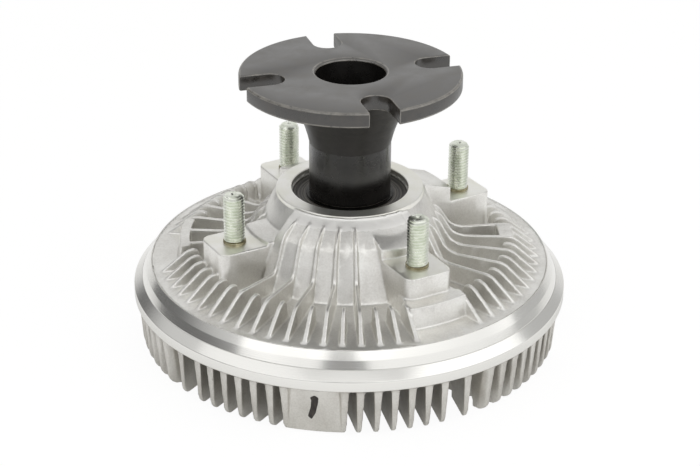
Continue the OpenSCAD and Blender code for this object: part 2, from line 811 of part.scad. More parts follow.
module front_cover() {
    color(aluminium)
        difference() {
            union() {
                difference() {
                    union() {
                        cover_body();
                        cover_fins();
                    }
                    cover_hollow();
                }
                translate([0, 0, z_spindle_boss])
                    cylinder(r = spindle_boss_r, h = spindle_boss_h + cut);
                coil_post();
                screw_places()
                    translate([0, 0, z_store - cut])
                        cylinder(r = screw_post_r, h = store_h + cut);
            }
            translate([0, 0, z_spindle_boss - cut])
                cylinder(r = spindle_r + slide_gap, h = z_store - z_spindle_boss + 2 * cut);
            translate([0, 0, z_plate])
                cylinder(r = spindle_seal_r, h = spindle_seal_h);
            screw_places()
                translate([0, 0, z_separator - screw_len - run_gap])
                    cylinder(r = screw_r, h = screw_len + run_gap + cut);
            linear_extrude(z_coil_top + run_gap)
                strip_outline(strip_t + run_gap);
        }
}

module cover_seal_ring() {
    color(rubber)
        rotate_extrude()
            translate([seal_ring_r, z_seat - seal_section_r])
                circle(r = seal_section_r - seat_gap, $fn = 48);
}

module separator_plate() {
    color(steel)
        difference() {
            translate([0, 0, z_separator])
                cylinder(r = separator_r, h = separator_t);
            screw_places()
                translate([0, 0, z_separator - cut])
                    cylinder(r = screw_r + slide_gap, h = separator_t + 2 * cut);
            at_azimuth(port_azimuth)
                translate([port_circle_r, 0, z_separator - cut])
                    cylinder(r = port_r, h = separator_t + 2 * cut);
        }
}

module plate_screws() {
    color(steel)
        screw_places() {
            translate([0, 0, z_separator - screw_len])
                cylinder(r = screw_r - seat_gap, h = screw_len + separator_t + screw_head_h / 2);
            translate([0, 0, z_seat])
                cylinder(r1 = screw_head_r, r2 = screw_head_r - screw_head_h / 2, h = screw_head_h);
        }
}

// Scoop on the plate's edge that pumps fluid back into the store
module pump_dam() {
    dam_h = z_web - z_seat - face_gap;
    color(steel)
        at_azimuth(port_azimuth + 180)
            translate([dam_circle_r, 0, z_seat])
                linear_extrude(dam_h)
                    rounded_rectangle(dam_w, dam_len, dam_corner_r);
}

module spindle_seal() {
    color(rubber)
        flat_ring(spindle_r + slide_gap, spindle_seal_r - seat_gap, z_plate, spindle_seal_h);
}

// Wound strip seen from below: straight inner tail, then even turns
function turn_point(turn, side) =
    let (r = coil_in_r + coil_pitch * turn + side)
    [r * cos(360 * turn), r * sin(360 * turn)];

module strip_outline(thickness) {
    steps = 24;
    half = thickness / 2;
    at_azimuth(coil_end_azimuth) {
        polygon(concat(
            [for (i = [0 : steps * coil_turns]) turn_point(i / steps, half)],
            [for (i = [steps * coil_turns : -1 : 0]) turn_point(i / steps, -half)]));
        translate([0, -half])
            square([coil_in_r + half, thickness]);
    }
}

module bimetal_coil() {
    color("goldenrod")
        translate([0, 0, z_coil])
            linear_extrude(strip_w)
                strip_outline(strip_t);
}

// A bearing race: a plain ring with the balls' groove turned into it
module race(inner, outer) {
    difference() {
        flat_ring(inner, outer, z_bearing, bearing_w);
        rotate_extrude()
            translate([pitch_r, z_bearing_mid])
                circle(r = ball_r + slide_gap, $fn = 48);
    }
}

module bearing_outer_race() {
    color(steel)
        race(race_out_r, bearing_r);
}

module bearing_inner_race() {
    color(steel)
        race(bearing_bore_r, race_in_r);
}

// Seal across the bearing with a raised rim and a thin lip, outside upwards
module seal_section(outwards) {
    inner = race_in_r + slide_gap;
    outer = race_out_r - seat_gap;
    step = (outer - inner) / 4;
    lip_h = seal_t / 2;
    z_inner_rim = seal_t - lip_h / 2;
    rotate_extrude()
        scale([1, outwards])
            polygon([[inner, 0], [outer, 0], [outer, seal_t], [outer - step, seal_t],
                [outer - step - lip_h, lip_h], [inner + step, lip_h],
                [inner + step - lip_h, z_inner_rim], [inner, z_inner_rim]]);
}

module bearing_seal_upper() {
    color(rubber)
        translate([0, 0, z_bearing_top - seal_inset - seal_t])
            seal_section(1);
}

module bearing_seal_lower() {
    color(rubber)
        translate([0, 0, z_bearing + seal_inset + seal_t])
            seal_section(-1);
}

module bearing_circlip() {
    color(steel)
        clip_ring(bearing_r - clip_h, bearing_r + clip_h, z_bearing - clip_t, 4 * clip_h);
}

module bearing_balls() {
    color("lightgray")
        for (i = [0 : ball_count - 1])
            rotate([0, 0, 360 / ball_count * i])
                translate([pitch_r, 0, z_bearing_mid])
                    sphere(r = ball_r, $fn = 48);
}

// Cage: a ring between the races with a pocket for each ball
module ball_cage() {
    half_t = (race_out_r - race_in_r) / 2 - 2 * run_gap;
    half_h = bearing_w / 2 - seal_inset - seal_t - 2 * run_gap;
    color("peru")
        difference() {
            flat_ring(pitch_r - half_t / 2, pitch_r + half_t / 2, z_bearing_mid - half_h, 2 * half_h);
            for (i = [0 : ball_count - 1])
                rotate([0, 0, 360 / ball_count * i])
                    translate([pitch_r, 0, z_bearing_mid])
                        sphere(r = ball_r + slide_gap, $fn = 48);
        }
}

// Turned shaft with its flange, before the bore and the slots
module shaft_body() {
    seat_r = bearing_bore_r - seat_gap;
    end_r = rotor_seat_r - seat_gap;
    rotate_extrude()
        polygon([[0, z_shaft_end], [end_r - edge_chamfer, z_shaft_end], [end_r, z_rotor_clip],
            [end_r - clip_depth, z_rotor_clip], [end_r - clip_depth, z_clip_seat], [end_r, z_clip_seat],
            [end_r, z_hub_top], [seat_r, z_hub_top], [seat_r, z_bearing - clip_t],
            [seat_r - clip_depth, z_bearing - clip_t], [seat_r - clip_depth, z_bearing],
            [seat_r, z_bearing], [seat_r, z_bearing_top], [neck_r, z_bearing_top],
            [neck_r, z_flange - flare_h], [neck_r + (flare_r - neck_r) / 3, z_flange - flare_h / 2],
            [flare_r, z_flange], [flange_r - edge_chamfer, z_flange], [flange_r, z_flange + edge_chamfer],
            [flange_r, z_top - edge_chamfer], [flange_r - edge_chamfer, z_top], [0, z_top]]);
}

module flange_shaft() {
    color(black_steel)
        difference() {
            shaft_body();
            translate([0, 0, z_top - pilot_depth])
                cylinder(r = pilot_r, h = pilot_depth + cut);
            translate([0, 0, z_top - pilot_chamfer])
                cylinder(r1 = pilot_r, r2 = pilot_r + pilot_chamfer + cut, h = pilot_chamfer + cut);
            for (i = [0 : 3])
                at_azimuth(slot_azimuth + 90 * i)
                    translate([slot_circle_r, 0, z_flange - cut]) {
                        cylinder(d = slot_w, h = flange_t + 2 * cut);
                        translate([0, -slot_w / 2, 0])
                            cube([flange_r, slot_w, flange_t + 2 * cut]);
                    }
        }
}

module race_clip() {
    seat_r = bearing_bore_r - seat_gap;
    color(steel)
        clip_ring(seat_r - clip_depth + seat_gap, seat_r + clip_h, z_bearing - clip_t, 3 * clip_h);
}

module rotor_clip() {
    seat_r = rotor_seat_r - seat_gap;
    color(steel)
        clip_ring(seat_r - clip_depth + seat_gap, seat_r + clip_h, z_rotor_clip, 3 * clip_h);
}

// Drive disc: hub, thin web with holes and a rim with ridges on both faces
module rotor_disc() {
    color(aluminium)
        difference() {
            union() {
                translate([0, 0, z_web])
                    cylinder(r = rotor_rim_r + cut, h = rotor_web_t);
                flat_ring(rotor_rim_r, rotor_r, z_rotor, rotor_t);
                translate([0, 0, z_web])
                    cylinder(r = rotor_hub_r, h = z_hub_top - z_web);
                ridge_rings(z_rotor - ridge_h, ridge_h + cut, 0);
                ridge_rings(z_rotor_top - cut, ridge_h + cut, 0);
            }
            translate([0, 0, z_web - cut])
                cylinder(r = rotor_seat_r, h = z_hub_top - z_web + 2 * cut);
            translate([0, 0, z_web - cut])
                cylinder(r = rotor_seat_r + clip_h + run_gap, h = clip_recess + cut);
            for (i = [0 : rotor_hole_count - 1])
                at_azimuth(360 / rotor_hole_count * i)
                    translate([(rotor_hub_r + rotor_rim_r) / 2, 0, z_web - cut])
                        cylinder(r = rotor_hole_r, h = rotor_web_t + 2 * cut);
        }
}

// Spindle with its thrust head, the pin for the arm and the slot for the strip
module valve_spindle() {
    color(steel)
        difference() {
            union() {
                translate([0, 0, z_spindle])
                    cylinder(r = spindle_r, h = z_store + run_gap - z_spindle + cut / 2);
                translate([0, 0, z_store + run_gap])
                    cylinder(r = spindle_head_r, h = spindle_head_h);
                translate([0, 0, z_arm - cut / 2])
                    cylinder(r = arm_pin_r - seat_gap, h = arm_t + cut / 2);
            }
            flat_ring(spindle_r - spindle_clip_t, spindle_r + cut, z_spindle_clip, spindle_clip_t);
            translate([0, 0, z_spindle - cut])
                at_azimuth(coil_end_azimuth)
                    translate([-spindle_r - cut, -coil_slot / 2, 0])
                        cube([2 * spindle_r + 2 * cut, coil_slot, z_coil_top + run_gap - z_spindle + cut]);
        }
}

module valve_arm() {
    color(steel)
        translate([0, 0, z_arm])
            at_azimuth(port_azimuth)
                difference() {
                    union() {
                        cylinder(r = spindle_head_r, h = arm_t);
                        translate([0, -arm_w / 2, 0])
                            cube([arm_len - arm_w / 2, arm_w, arm_t]);
                        translate([arm_len - arm_w / 2, 0, 0])
                            cylinder(d = arm_w, h = arm_t);
                    }
                    translate([0, 0, -cut])
                        cylinder(r = arm_pin_r, h = arm_t + 2 * cut);
                }
}

module spindle_clip() {
    color(steel)
        difference() {
            flat_ring(spindle_r - spindle_clip_t + seat_gap, spindle_head_r, z_spindle_clip,
                spindle_clip_t);
            translate([0, -spindle_r / 2, z_spindle_clip - cut])
                cube([spindle_head_r + cut, spindle_r, spindle_clip_t + 2 * cut]);
        }
}

rear_housing();
front_cover();
cover_seal_ring();
fan_studs();
separator_plate();
plate_screws();
pump_dam();
spindle_seal();
bimetal_coil();
bearing_outer_race();
bearing_seal_upper();
bearing_seal_lower();
bearing_circlip();
flange_shaft();
bearing_inner_race();
race_clip();
rotor_disc();
rotor_clip();
bearing_balls();
ball_cage();
valve_spindle();
valve_arm();
spindle_clip();
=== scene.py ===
"""Viscous fan clutch: finishes, fine detail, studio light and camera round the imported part."""

import json
import logging
import math
from dataclasses import dataclass, field
from enum import Enum
from typing import Callable

import bmesh
import bpy
from bmesh.types import BMEdge, BMesh, BMVert
from bpy.types import Material, Mesh, Node, NodeSocket as Socket, NodeTree as Tree, Object
from mathutils import Matrix, Quaternion, Vector
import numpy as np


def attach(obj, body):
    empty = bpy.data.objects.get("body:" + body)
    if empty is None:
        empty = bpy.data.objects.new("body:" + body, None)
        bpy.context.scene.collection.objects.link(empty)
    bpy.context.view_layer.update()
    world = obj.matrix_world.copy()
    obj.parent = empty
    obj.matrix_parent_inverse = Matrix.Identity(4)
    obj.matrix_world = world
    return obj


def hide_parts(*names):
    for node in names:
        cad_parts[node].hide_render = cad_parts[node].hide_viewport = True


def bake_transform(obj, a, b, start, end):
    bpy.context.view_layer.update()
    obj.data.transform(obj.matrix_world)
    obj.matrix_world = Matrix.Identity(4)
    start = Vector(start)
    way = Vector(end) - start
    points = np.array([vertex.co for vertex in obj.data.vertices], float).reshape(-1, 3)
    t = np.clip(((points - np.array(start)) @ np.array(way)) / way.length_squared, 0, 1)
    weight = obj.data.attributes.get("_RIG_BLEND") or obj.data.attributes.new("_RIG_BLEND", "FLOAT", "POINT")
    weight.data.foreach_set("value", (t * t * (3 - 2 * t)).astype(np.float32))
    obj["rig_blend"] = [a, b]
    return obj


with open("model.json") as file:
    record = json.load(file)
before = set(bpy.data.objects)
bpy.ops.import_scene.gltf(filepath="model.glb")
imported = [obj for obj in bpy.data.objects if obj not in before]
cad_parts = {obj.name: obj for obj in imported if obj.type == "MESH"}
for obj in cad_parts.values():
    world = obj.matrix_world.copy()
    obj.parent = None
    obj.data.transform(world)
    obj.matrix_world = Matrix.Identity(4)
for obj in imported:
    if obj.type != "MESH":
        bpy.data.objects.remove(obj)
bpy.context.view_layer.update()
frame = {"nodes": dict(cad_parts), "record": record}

MM = 0.001
LOG = logging.getLogger("fan_clutch")

CAD_WELD = 0.002 * MM
SPIN_WELD = 0.001 * MM
FLAT_ANGLE = math.radians(0.6)

Pair = tuple[float, float]


class Body(Enum):
    """The moving bodies of the clutch that pieces ride on."""

    HOUSING = "housing"
    SHAFT = "drive_shaft"
    VALVE = "valve"


def linear(hex_colour: str) -> tuple[float, float, float, float]:
    """Turn an sRGB hex colour into linear RGBA.

    Args:
        hex_colour: Six hex digits, with or without a leading hash.

    Returns:
        The colour as linear red, green, blue and an alpha of 1.
    """
    digits = hex_colour.lstrip("#")
    parts = [int(digits[i:i + 2], 16) / 255 for i in (0, 2, 4)]
    red, green, blue = [p / 12.92 if p <= 0.04045 else ((p + 0.055) / 1.055) ** 2.4 for p in parts]
    return red, green, blue, 1.0


def per_mm(size_mm: float) -> float:
    """Return a texture scale whose features are about that many millimetres wide."""
    return 1 / (size_mm * MM)


def add_node(tree: Tree, kind: str, inputs: dict | None = None, **settings) -> Node:
    """Add a node, set its options and fill or link its inputs.

    Args:
        tree: The node tree that gets the node.
        kind: Blender's type name of the node, without its first word ShaderNode.
        inputs: A value or an output socket for each input, by name or place.
        **settings: Options of the node itself.

    Returns:
        The new node.
    """
    node = tree.nodes.new("ShaderNode" + kind)
    for name, value in settings.items():
        setattr(node, name, value)
    for key, value in (inputs or {}).items():
        if isinstance(value, Socket):
            tree.links.new(value, node.inputs[key])
        else:
            node.inputs[key].default_value = value
    return node


def new_tree(name: str) -> tuple[Material, Tree, Socket]:
    """Make a node material that holds only its object coordinates.

    Args:
        name: The material's name.

    Returns:
        The material, its node tree and the socket of the object coordinates.
    """
    material = bpy.data.materials.new(name)
    material.use_nodes = True
    tree = material.node_tree
    tree.nodes.clear()
    return material, tree, add_node(tree, "TexCoord").outputs["Object"]


def lathe_lines(tree: Tree, place: Socket, ring_mm: float, detail: float = 3.0, level: bool = False) -> Socket:
    """Add noise in rings round the axis, as a lathe leaves it.

    Args:
        tree: The material's node tree.
        place: The socket of the object coordinates.
        ring_mm: Width of the rings.
        detail: How much finer noise lies in them.
        level: Whether the rings lie on level faces only.

    Returns:
        The noise's socket.
    """
    parts = add_node(tree, "SeparateXYZ", {0: place})
    flat = add_node(tree, "CombineXYZ", {0: parts.outputs[0], 1: parts.outputs[1]})
    along = add_node(tree, "VectorMath", {0: flat.outputs[0]}, operation="LENGTH").outputs["Value"]
    if not level:
        # Radius less height changes along every turned face here: level, upright or sloping.
        along = add_node(tree, "Math", {0: along, 1: parts.outputs[2]}, operation="SUBTRACT").outputs[0]
    noise = {"W": along, "Scale": per_mm(ring_mm), "Detail": detail}
    return add_node(tree, "TexNoise", noise, noise_dimensions="1D").outputs[0]


def two_tone(tree: Tree, pattern: Socket, span: Pair, colour: str, shade: str,
             most: float = 1.0) -> Socket:
    """Blend two colours by a pattern.

    Args:
        tree: The material's node tree.
        pattern: The pattern's socket.
        span: Values of the pattern where the second colour starts and where it is fullest.
        colour: The first colour, in sRGB hex.
        shade: The second colour, in sRGB hex.
        most: The largest share of the second colour.

    Returns:
        The colour's socket.
    """
    amount = add_node(tree, "MapRange", {0: pattern, 1: span[0], 2: span[1], 3: 0.0, 4: most})
    inputs = {0: amount.outputs[0], 6: linear(colour), 7: linear(shade)}
    return add_node(tree, "Mix", inputs, data_type="RGBA").outputs[2]


def close_tree(tree: Tree, shader: Node) -> None:
    """Link a shader to the material's output."""
    add_node(tree, "OutputMaterial", {"Surface": shader.outputs[0]})


def close_surface(tree: Tree, inputs: dict, uneven: tuple[Socket, float, float] | None = None) -> None:
    """Add the principled shader and link it to the material's output.

    Args:
        tree: The material's node tree.
        inputs: The shader's inputs, with its mean roughness.
        uneven: A pattern's socket, with what it takes from the roughness where low and adds where high.
    """
    shader = add_node(tree, "BsdfPrincipled", inputs)
    if uneven:
        pattern, less, more = uneven
        mean = inputs["Roughness"]
        gloss = add_node(tree, "MapRange", {0: pattern, 1: 0.3, 2: 0.7, 3: mean - less, 4: mean + more})
        tree.links.new(gloss.outputs[0], shader.inputs["Roughness"])
    close_tree(tree, shader)


# In each finish below, colours are sRGB hex and the roughness is the mean one.


@dataclass(frozen=True)
class CastAluminium:
    """Die-cast aluminium, as it leaves the mould: pale grey, finely grained and slightly cloudy.

    Attributes:
        shade: Its colour in the clouds that the mould's spray leaves.
        grain_mm: Width of the skin's grain.
        cloud_mm: Width of the clouds.
        grain_depth_mm: Depth of the grain.
    """

    name: str = "die_cast_aluminium"
    colour: str = "#f4f3ef"
    shade: str = "#e0ded9"
    roughness: float = 0.4
    grain_mm: float = 0.9
    cloud_mm: float = 16.0
    grain_depth_mm: float = 0.05

    def material(self) -> Material:
        """Build the material from its grain and clouds."""
        material, tree, place = new_tree(self.name)
        clouds, grain = (
            add_node(tree, "TexNoise", {"Vector": place, "Scale": per_mm(size), "Detail": detail}).outputs[0]
            for size, detail in ((self.cloud_mm, 3.0), (self.grain_mm, 4.0)))
        blend = add_node(tree, "MapRange", {0: clouds, 1: 0.35, 2: 0.65, 3: 0.0, 4: 0.8})
        speck = add_node(tree, "MapRange", {0: grain, 1: 0.3, 2: 0.7, 3: -0.25, 4: 0.25})
        amount = add_node(tree, "Math", {0: blend.outputs[0], 1: speck.outputs[0]}, operation="ADD",
                          use_clamp=True)
        depth = self.grain_depth_mm * MM
        bump = add_node(tree, "Bump", {"Height": grain, "Distance": depth, "Strength": 0.6})
        close_surface(tree, {"Base Color": two_tone(tree, amount.outputs[0], (0.0, 1.0), self.colour, self.shade),
                             "Metallic": 1.0, "Roughness": self.roughness, "Normal": bump.outputs[0]},
                      (grain, 0.06, 0.08))
        return material


@dataclass(frozen=True)
class TurnedAluminium:
    """Aluminium faced on a lathe: bright, with fine rings round the axis.

    Attributes:
        ring_mm: Width of the rings.
        ring_depth_mm: Depth of the rings.
        tint: Colour of its smudges.
        tint_amount: Largest share of that colour.
        smudge_mm: Width of the smudges.
    """

    name: str = "turned_aluminium"
    colour: str = "#f1f0ec"
    roughness: float = 0.16
    ring_mm: float = 0.35
    ring_depth_mm: float = 0.012
    tint: str = "#f1f0ec"
    tint_amount: float = 0.0
    smudge_mm: float = 12.0

    def material(self) -> Material:
        """Build the material from rings that follow the turned faces, and smudges."""
        material, tree, place = new_tree(self.name)
        rings = lathe_lines(tree, place, self.ring_mm)
        smudge = add_node(tree, "TexNoise",
                          {"Vector": place, "Scale": per_mm(self.smudge_mm), "Detail": 3.0}).outputs[0]
        depth = self.ring_depth_mm * MM
        bump = add_node(tree, "Bump", {"Height": rings, "Distance": depth, "Strength": 0.35})
        colour = two_tone(tree, smudge, (0.35, 0.7), self.colour, self.tint, self.tint_amount)
        close_surface(tree, {"Base Color": colour, "Metallic": 1.0, "Roughness": self.roughness,
                             "Normal": bump.outputs[0]}, (rings, 0.05, 0.07))
        return material


@dataclass(frozen=True)
class BlackOxideSteel:
    """Blackened steel: an oxide film, dark and satin, with cloudy patches and fine turning lines.

    Attributes:
        patch: Its colour in the patches.
        film_ior: Refractive index of the film.
        cloud_mm: Width of the patches.
        ring_mm: Width of the turning lines.
        ring_depth_mm: Depth of the turning lines.
    """

    name: str = "black_oxide_steel"
    colour: str = "#35322e"
    patch: str = "#4a463f"
    roughness: float = 0.34
    film_ior: float = 2.1
    cloud_mm: float = 9.0
    ring_mm: float = 0.6
    ring_depth_mm: float = 0.012

    def material(self) -> Material:
        """Build the material from patches in the oxide film and turning lines below it."""
        material, tree, place = new_tree(self.name)
        rings = lathe_lines(tree, place, self.ring_mm)
        noise = {"Vector": place, "Scale": per_mm(self.cloud_mm), "Detail": 5.0, "Roughness": 0.6}
        clouds = add_node(tree, "TexNoise", noise).outputs[0]
        depth = self.ring_depth_mm * MM
        bump = add_node(tree, "Bump", {"Height": rings, "Distance": depth, "Strength": 0.3})
        colour = two_tone(tree, clouds, (0.35, 0.7), self.colour, self.patch)
        close_surface(tree, {"Base Color": colour, "Metallic": 0.0, "Roughness": self.roughness,
                             "IOR": self.film_ior, "Normal": bump.outputs[0]}, (clouds, 0.06, 0.1))
        return material


@dataclass(frozen=True)
class PlainMetal:
    """A rolled, plated or ground metal with small changes in tone and gloss.

    Attributes:
        shade: Its colour in the patches.
        cloud_mm: Width of the patches.
    """

    name: str
    colour: str
    shade: str
    roughness: float
    cloud_mm: float = 3.0

    def material(self) -> Material:
        """Build the material from soft patches of tone."""
        material, tree, place = new_tree(self.name)
        clouds = add_node(tree, "TexNoise",
                          {"Vector": place, "Scale": per_mm(self.cloud_mm), "Detail": 4.0}).outputs[0]
        colour = two_tone(tree, clouds, (0.35, 0.65), self.colour, self.shade)
        close_surface(tree, {"Base Color": colour, "Metallic": 1.0, "Roughness": self.roughness},
                      (clouds, 0.04, 0.08))
        return material


@dataclass(frozen=True)
class SealRubber:
    """Moulded nitrile rubber, with faint rings and a film of oil: its own near black is painted several times
    lighter, as painted light for the shade in the seal's deep gap.

    Attributes:
        bloom: Its colour on the rings, painted lighter in the same way.
        ring_mm: Width of the rings.
        ior: Its refractive index.
    """

    name: str = "nitrile_rubber_painted_light"
    # Both colours are painted light: much lighter than the rubber's own near black, to make up for the shade in the
    # seal's gap.
    colour: str = "#3d3a35"
    bloom: str = "#6e6961"
    roughness: float = 0.5
    ring_mm: float = 0.9
    ior: float = 1.52

    def material(self) -> Material:
        """Build the material from the mould's faint rings."""
        material, tree, place = new_tree(self.name)
        rings = lathe_lines(tree, place, self.ring_mm, 2.0, level=True)
        colour = two_tone(tree, rings, (0.45, 0.7), self.colour, self.bloom)
        close_surface(tree, {"Base Color": colour, "Roughness": self.roughness, "IOR": self.ior})
        return material


@dataclass(frozen=True)
class MarkerInk:
    """Felt-pen ink dried on cast metal: brown-black and thinner where the pen was lifted.

    Attributes:
        thin: Its colour where it is thin.
        streak_mm: Width of its streaks.
        stretch: How much longer than wide they are.
    """

    name: str = "dried_marker_ink"
    colour: str = "#241f1c"
    thin: str = "#4a413b"
    roughness: float = 0.45
    streak_mm: float = 0.8
    stretch: float = 4.0

    def material(self) -> Material:
        """Build the material from streaks along the stroke."""
        material, tree, place = new_tree(self.name)
        drawn = add_node(tree, "Mapping", {"Vector": place, "Scale": (1.0, 1.0, 1 / self.stretch)})
        noise = {"Vector": drawn.outputs[0], "Scale": per_mm(self.streak_mm), "Detail": 3.0}
        streaks = add_node(tree, "TexNoise", noise).outputs[0]
        colour = two_tone(tree, streaks, (0.45, 0.75), self.colour, self.thin)
        close_surface(tree, {"Base Color": colour, "Roughness": self.roughness})
        return material


Finish = CastAluminium | TurnedAluminium | BlackOxideSteel | PlainMetal | SealRubber | MarkerInk

CAST = CastAluminium()
# A darker copy of the cast aluminium: painted shade on the front cover's fins.
SHADED_CAST = CastAluminium("cast_aluminium_painted_shade", "#e9e7e2", "#d2cfc9", grain_mm=0.8)
TURNED = TurnedAluminium(colour="#ecebe7")
FACED = TurnedAluminium("faced_aluminium", "#fbfaf6", 0.38, ring_mm=0.5, tint="#f0efe3", tint_amount=0.8)
BRUSHED = TurnedAluminium("brushed_aluminium", "#fcfbf8", 0.58, ring_mm=0.4)
BLACK = BlackOxideSteel()
NECK = BlackOxideSteel("oiled_black_steel", "#141312", "#1d1b19", 0.24, film_ior=1.6, cloud_mm=14.0)
FLARE = BlackOxideSteel("matt_black_steel", "#15120f", "#1f1b17", 0.34, film_ior=1.5)
SIDES = BlackOxideSteel("turned_black_steel", "#23201c", "#3a352f", 0.3, film_ior=1.8, cloud_mm=5.0)
# Lighter steel for the broken edges: partly worn oxide, partly a painted highlight along every edge.
WORN_AND_HIGHLIT = BlackOxideSteel("worn_and_highlit_black_steel", "#48443e", "#8b867c", 0.3, film_ior=2.2, cloud_mm=4.0)
ZINC = PlainMetal("zinc_plated_steel", "#f6f8ef", "#e6ebdc", 0.28)
# Slightly darker zinc: painted shade in the thread's groove and on its lower flanks.
GROOVE_SHADE = PlainMetal("zinc_with_painted_groove_shade", "#eff2e8", "#dfe4d7", 0.3)
CHROMATE = PlainMetal("yellow_chromated_steel", "#b3ae92", "#857e63", 0.3)
# Dark steel for the bearing's inner race: painted shade, as the race lies in shade at the foot of the neck.
SHADED_RACE = PlainMetal("race_steel_painted_shade", "#3b3a38", "#2a2927", 0.38)
GROUND = PlainMetal("ground_bearing_steel", "#c8c8c6", "#b4b4b2", 0.2)
SPRING = PlainMetal("oiled_spring_steel", "#5c5b59", "#474644", 0.35)
STRIP = PlainMetal("rolled_bimetal_strip", "#b9a77c", "#9b8a63", 0.32)
BRASS = PlainMetal("machined_brass", "#c9a85c", "#ad8d46", 0.3)
LIGHTENED_RUBBER = SealRubber()
INK = MarkerInk()

# The inner race gets the dark steel as painted shade instead of bright bearing steel.
NODE_FINISH = {"bearing_inner_race": SHADED_RACE}
SLOT_FINISH = {
    "cast_aluminium": CAST,
    "black_steel": BLACK,
    "zinc_steel": ZINC,
    "bright_steel": GROUND,
    "spring_steel": SPRING,
    "bimetal": STRIP,
    "cage_brass": BRASS,
    "seal_rubber": LIGHTENED_RUBBER,
}


@dataclass
class Paintbox:
    """Keeps one material for each finish."""

    made: dict[str, Material] = field(default_factory=dict)

    def get(self, finish: Finish) -> Material:
        """Return the finish's material, made at its first use."""
        if finish.name not in self.made:
            self.made[finish.name] = finish.material()
        return self.made[finish.name]


PAINTS = Paintbox()


def merged_copy(node: str) -> BMesh:
    """Copy a CAD node's triangles, join them and melt flat neighbours together.

    Args:
        node: The CAD node's name.

    Returns:
        A bmesh of the node's form.
    """
    shape = bmesh.new()
    shape.from_mesh(frame["nodes"][node].data)
    bmesh.ops.remove_doubles(shape, verts=shape.verts, dist=CAD_WELD)
    bmesh.ops.dissolve_limit(shape, angle_limit=FLAT_ANGLE, verts=shape.verts, edges=shape.edges)
    return shape


def finish_piece(name: str, shape: BMesh, finishes: list[Finish], body: Body | None,
                 smooth_angle: float = 40.0) -> Object:
    """Turn a bmesh into a piece that rides on a body.

    Args:
        name: The piece's name.
        shape: Its mesh, which is freed.
        finishes: The finishes of its material slots, in order.
        body: The body that it rides on, or None for a piece that is blended across a joint.
        smooth_angle: Edges that bend more than this many degrees stay sharp.

    Returns:
        The new object.
    """
    mesh = bpy.data.meshes.new(name)
    for face in shape.faces:
        face.smooth = True
    shape.to_mesh(mesh)
    shape.free()
    for finish in finishes:
        mesh.materials.append(PAINTS.get(finish))
    mesh.set_sharp_from_angle(angle=math.radians(smooth_angle))
    piece = bpy.data.objects.new(name, mesh)
    bpy.context.scene.collection.objects.link(piece)
    if body:
        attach(piece, body.value)
    LOG.info("%s: %d faces", name, len(mesh.polygons))
    return piece


@dataclass
class Casting:
    """A cast piece: its CAD form with every edge and corner rounded, as it leaves the mould.

    Attributes:
        name: The piece's name.
        node: The CAD node that it stands for.
        body: The body that it rides on.
        finishes: The finishes of its material slots.
        choose: Gives a face's slot from its middle, in millimetres, and its normal.
        settle: Moves a point, in millimetres, to or under the machined face that it belongs to.
        grain_mm: Cell size of the rounding, about half the radius of the edges.
        passes: Smoothing passes over the cells.
        triangles: Most triangles that are kept.
    """

    name: str
    node: str
    body: Body
    finishes: list[Finish]
    choose: Callable[[Vector, Vector], int]
    settle: Callable[[Vector, Vector], None]
    grain_mm: float = 0.5
    passes: int = 2
    triangles: int = 190_000

    def rounded(self) -> Mesh:
        """Round the joined CAD form over small cells and thin its flat parts out."""
        shape = merged_copy(self.node)
        mesh = bpy.data.meshes.new(self.name)
        shape.to_mesh(mesh)
        shape.free()
        blank = bpy.data.objects.new(self.name + "_blank", mesh)
        bpy.context.scene.collection.objects.link(blank)
        cells = blank.modifiers.new("cells", "REMESH")
        cells.mode = "VOXEL"
        cells.voxel_size = self.grain_mm * MM * 1
        soften = blank.modifiers.new("soften", "SMOOTH")
        soften.factor = 0.5
        soften.iterations = self.passes
        fine = bpy.data.meshes.new_from_object(blank.evaluated_get(bpy.context.evaluated_depsgraph_get()))
        thin = blank.modifiers.new("thin", "DECIMATE")
        thin.ratio = min(1.0, self.triangles / (2 * len(fine.polygons)))
        LOG.info("%s: %d cells on its skin", self.name, len(fine.polygons))
        result = bpy.data.meshes.new_from_object(blank.evaluated_get(bpy.context.evaluated_depsgraph_get()))
        bpy.data.objects.remove(blank)
        bpy.data.meshes.remove(fine)
        return result

    def build(self) -> Object:
        """Round the node's copy, settle its machined faces and give each face its finish."""
        mesh = self.rounded()
        shape = bmesh.new()
        shape.from_mesh(mesh)
        bpy.data.meshes.remove(mesh)
        shape.normal_update()
        for vert in shape.verts:
            place = vert.co / MM
            self.settle(place, vert.normal)
            vert.co = place * MM
        for face in shape.faces:
            face.material_index = self.choose(face.calc_center_median() / MM, face.normal)
        piece = finish_piece(self.name, shape, self.finishes, self.body, 180.0)
        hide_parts(self.node)
        return piece


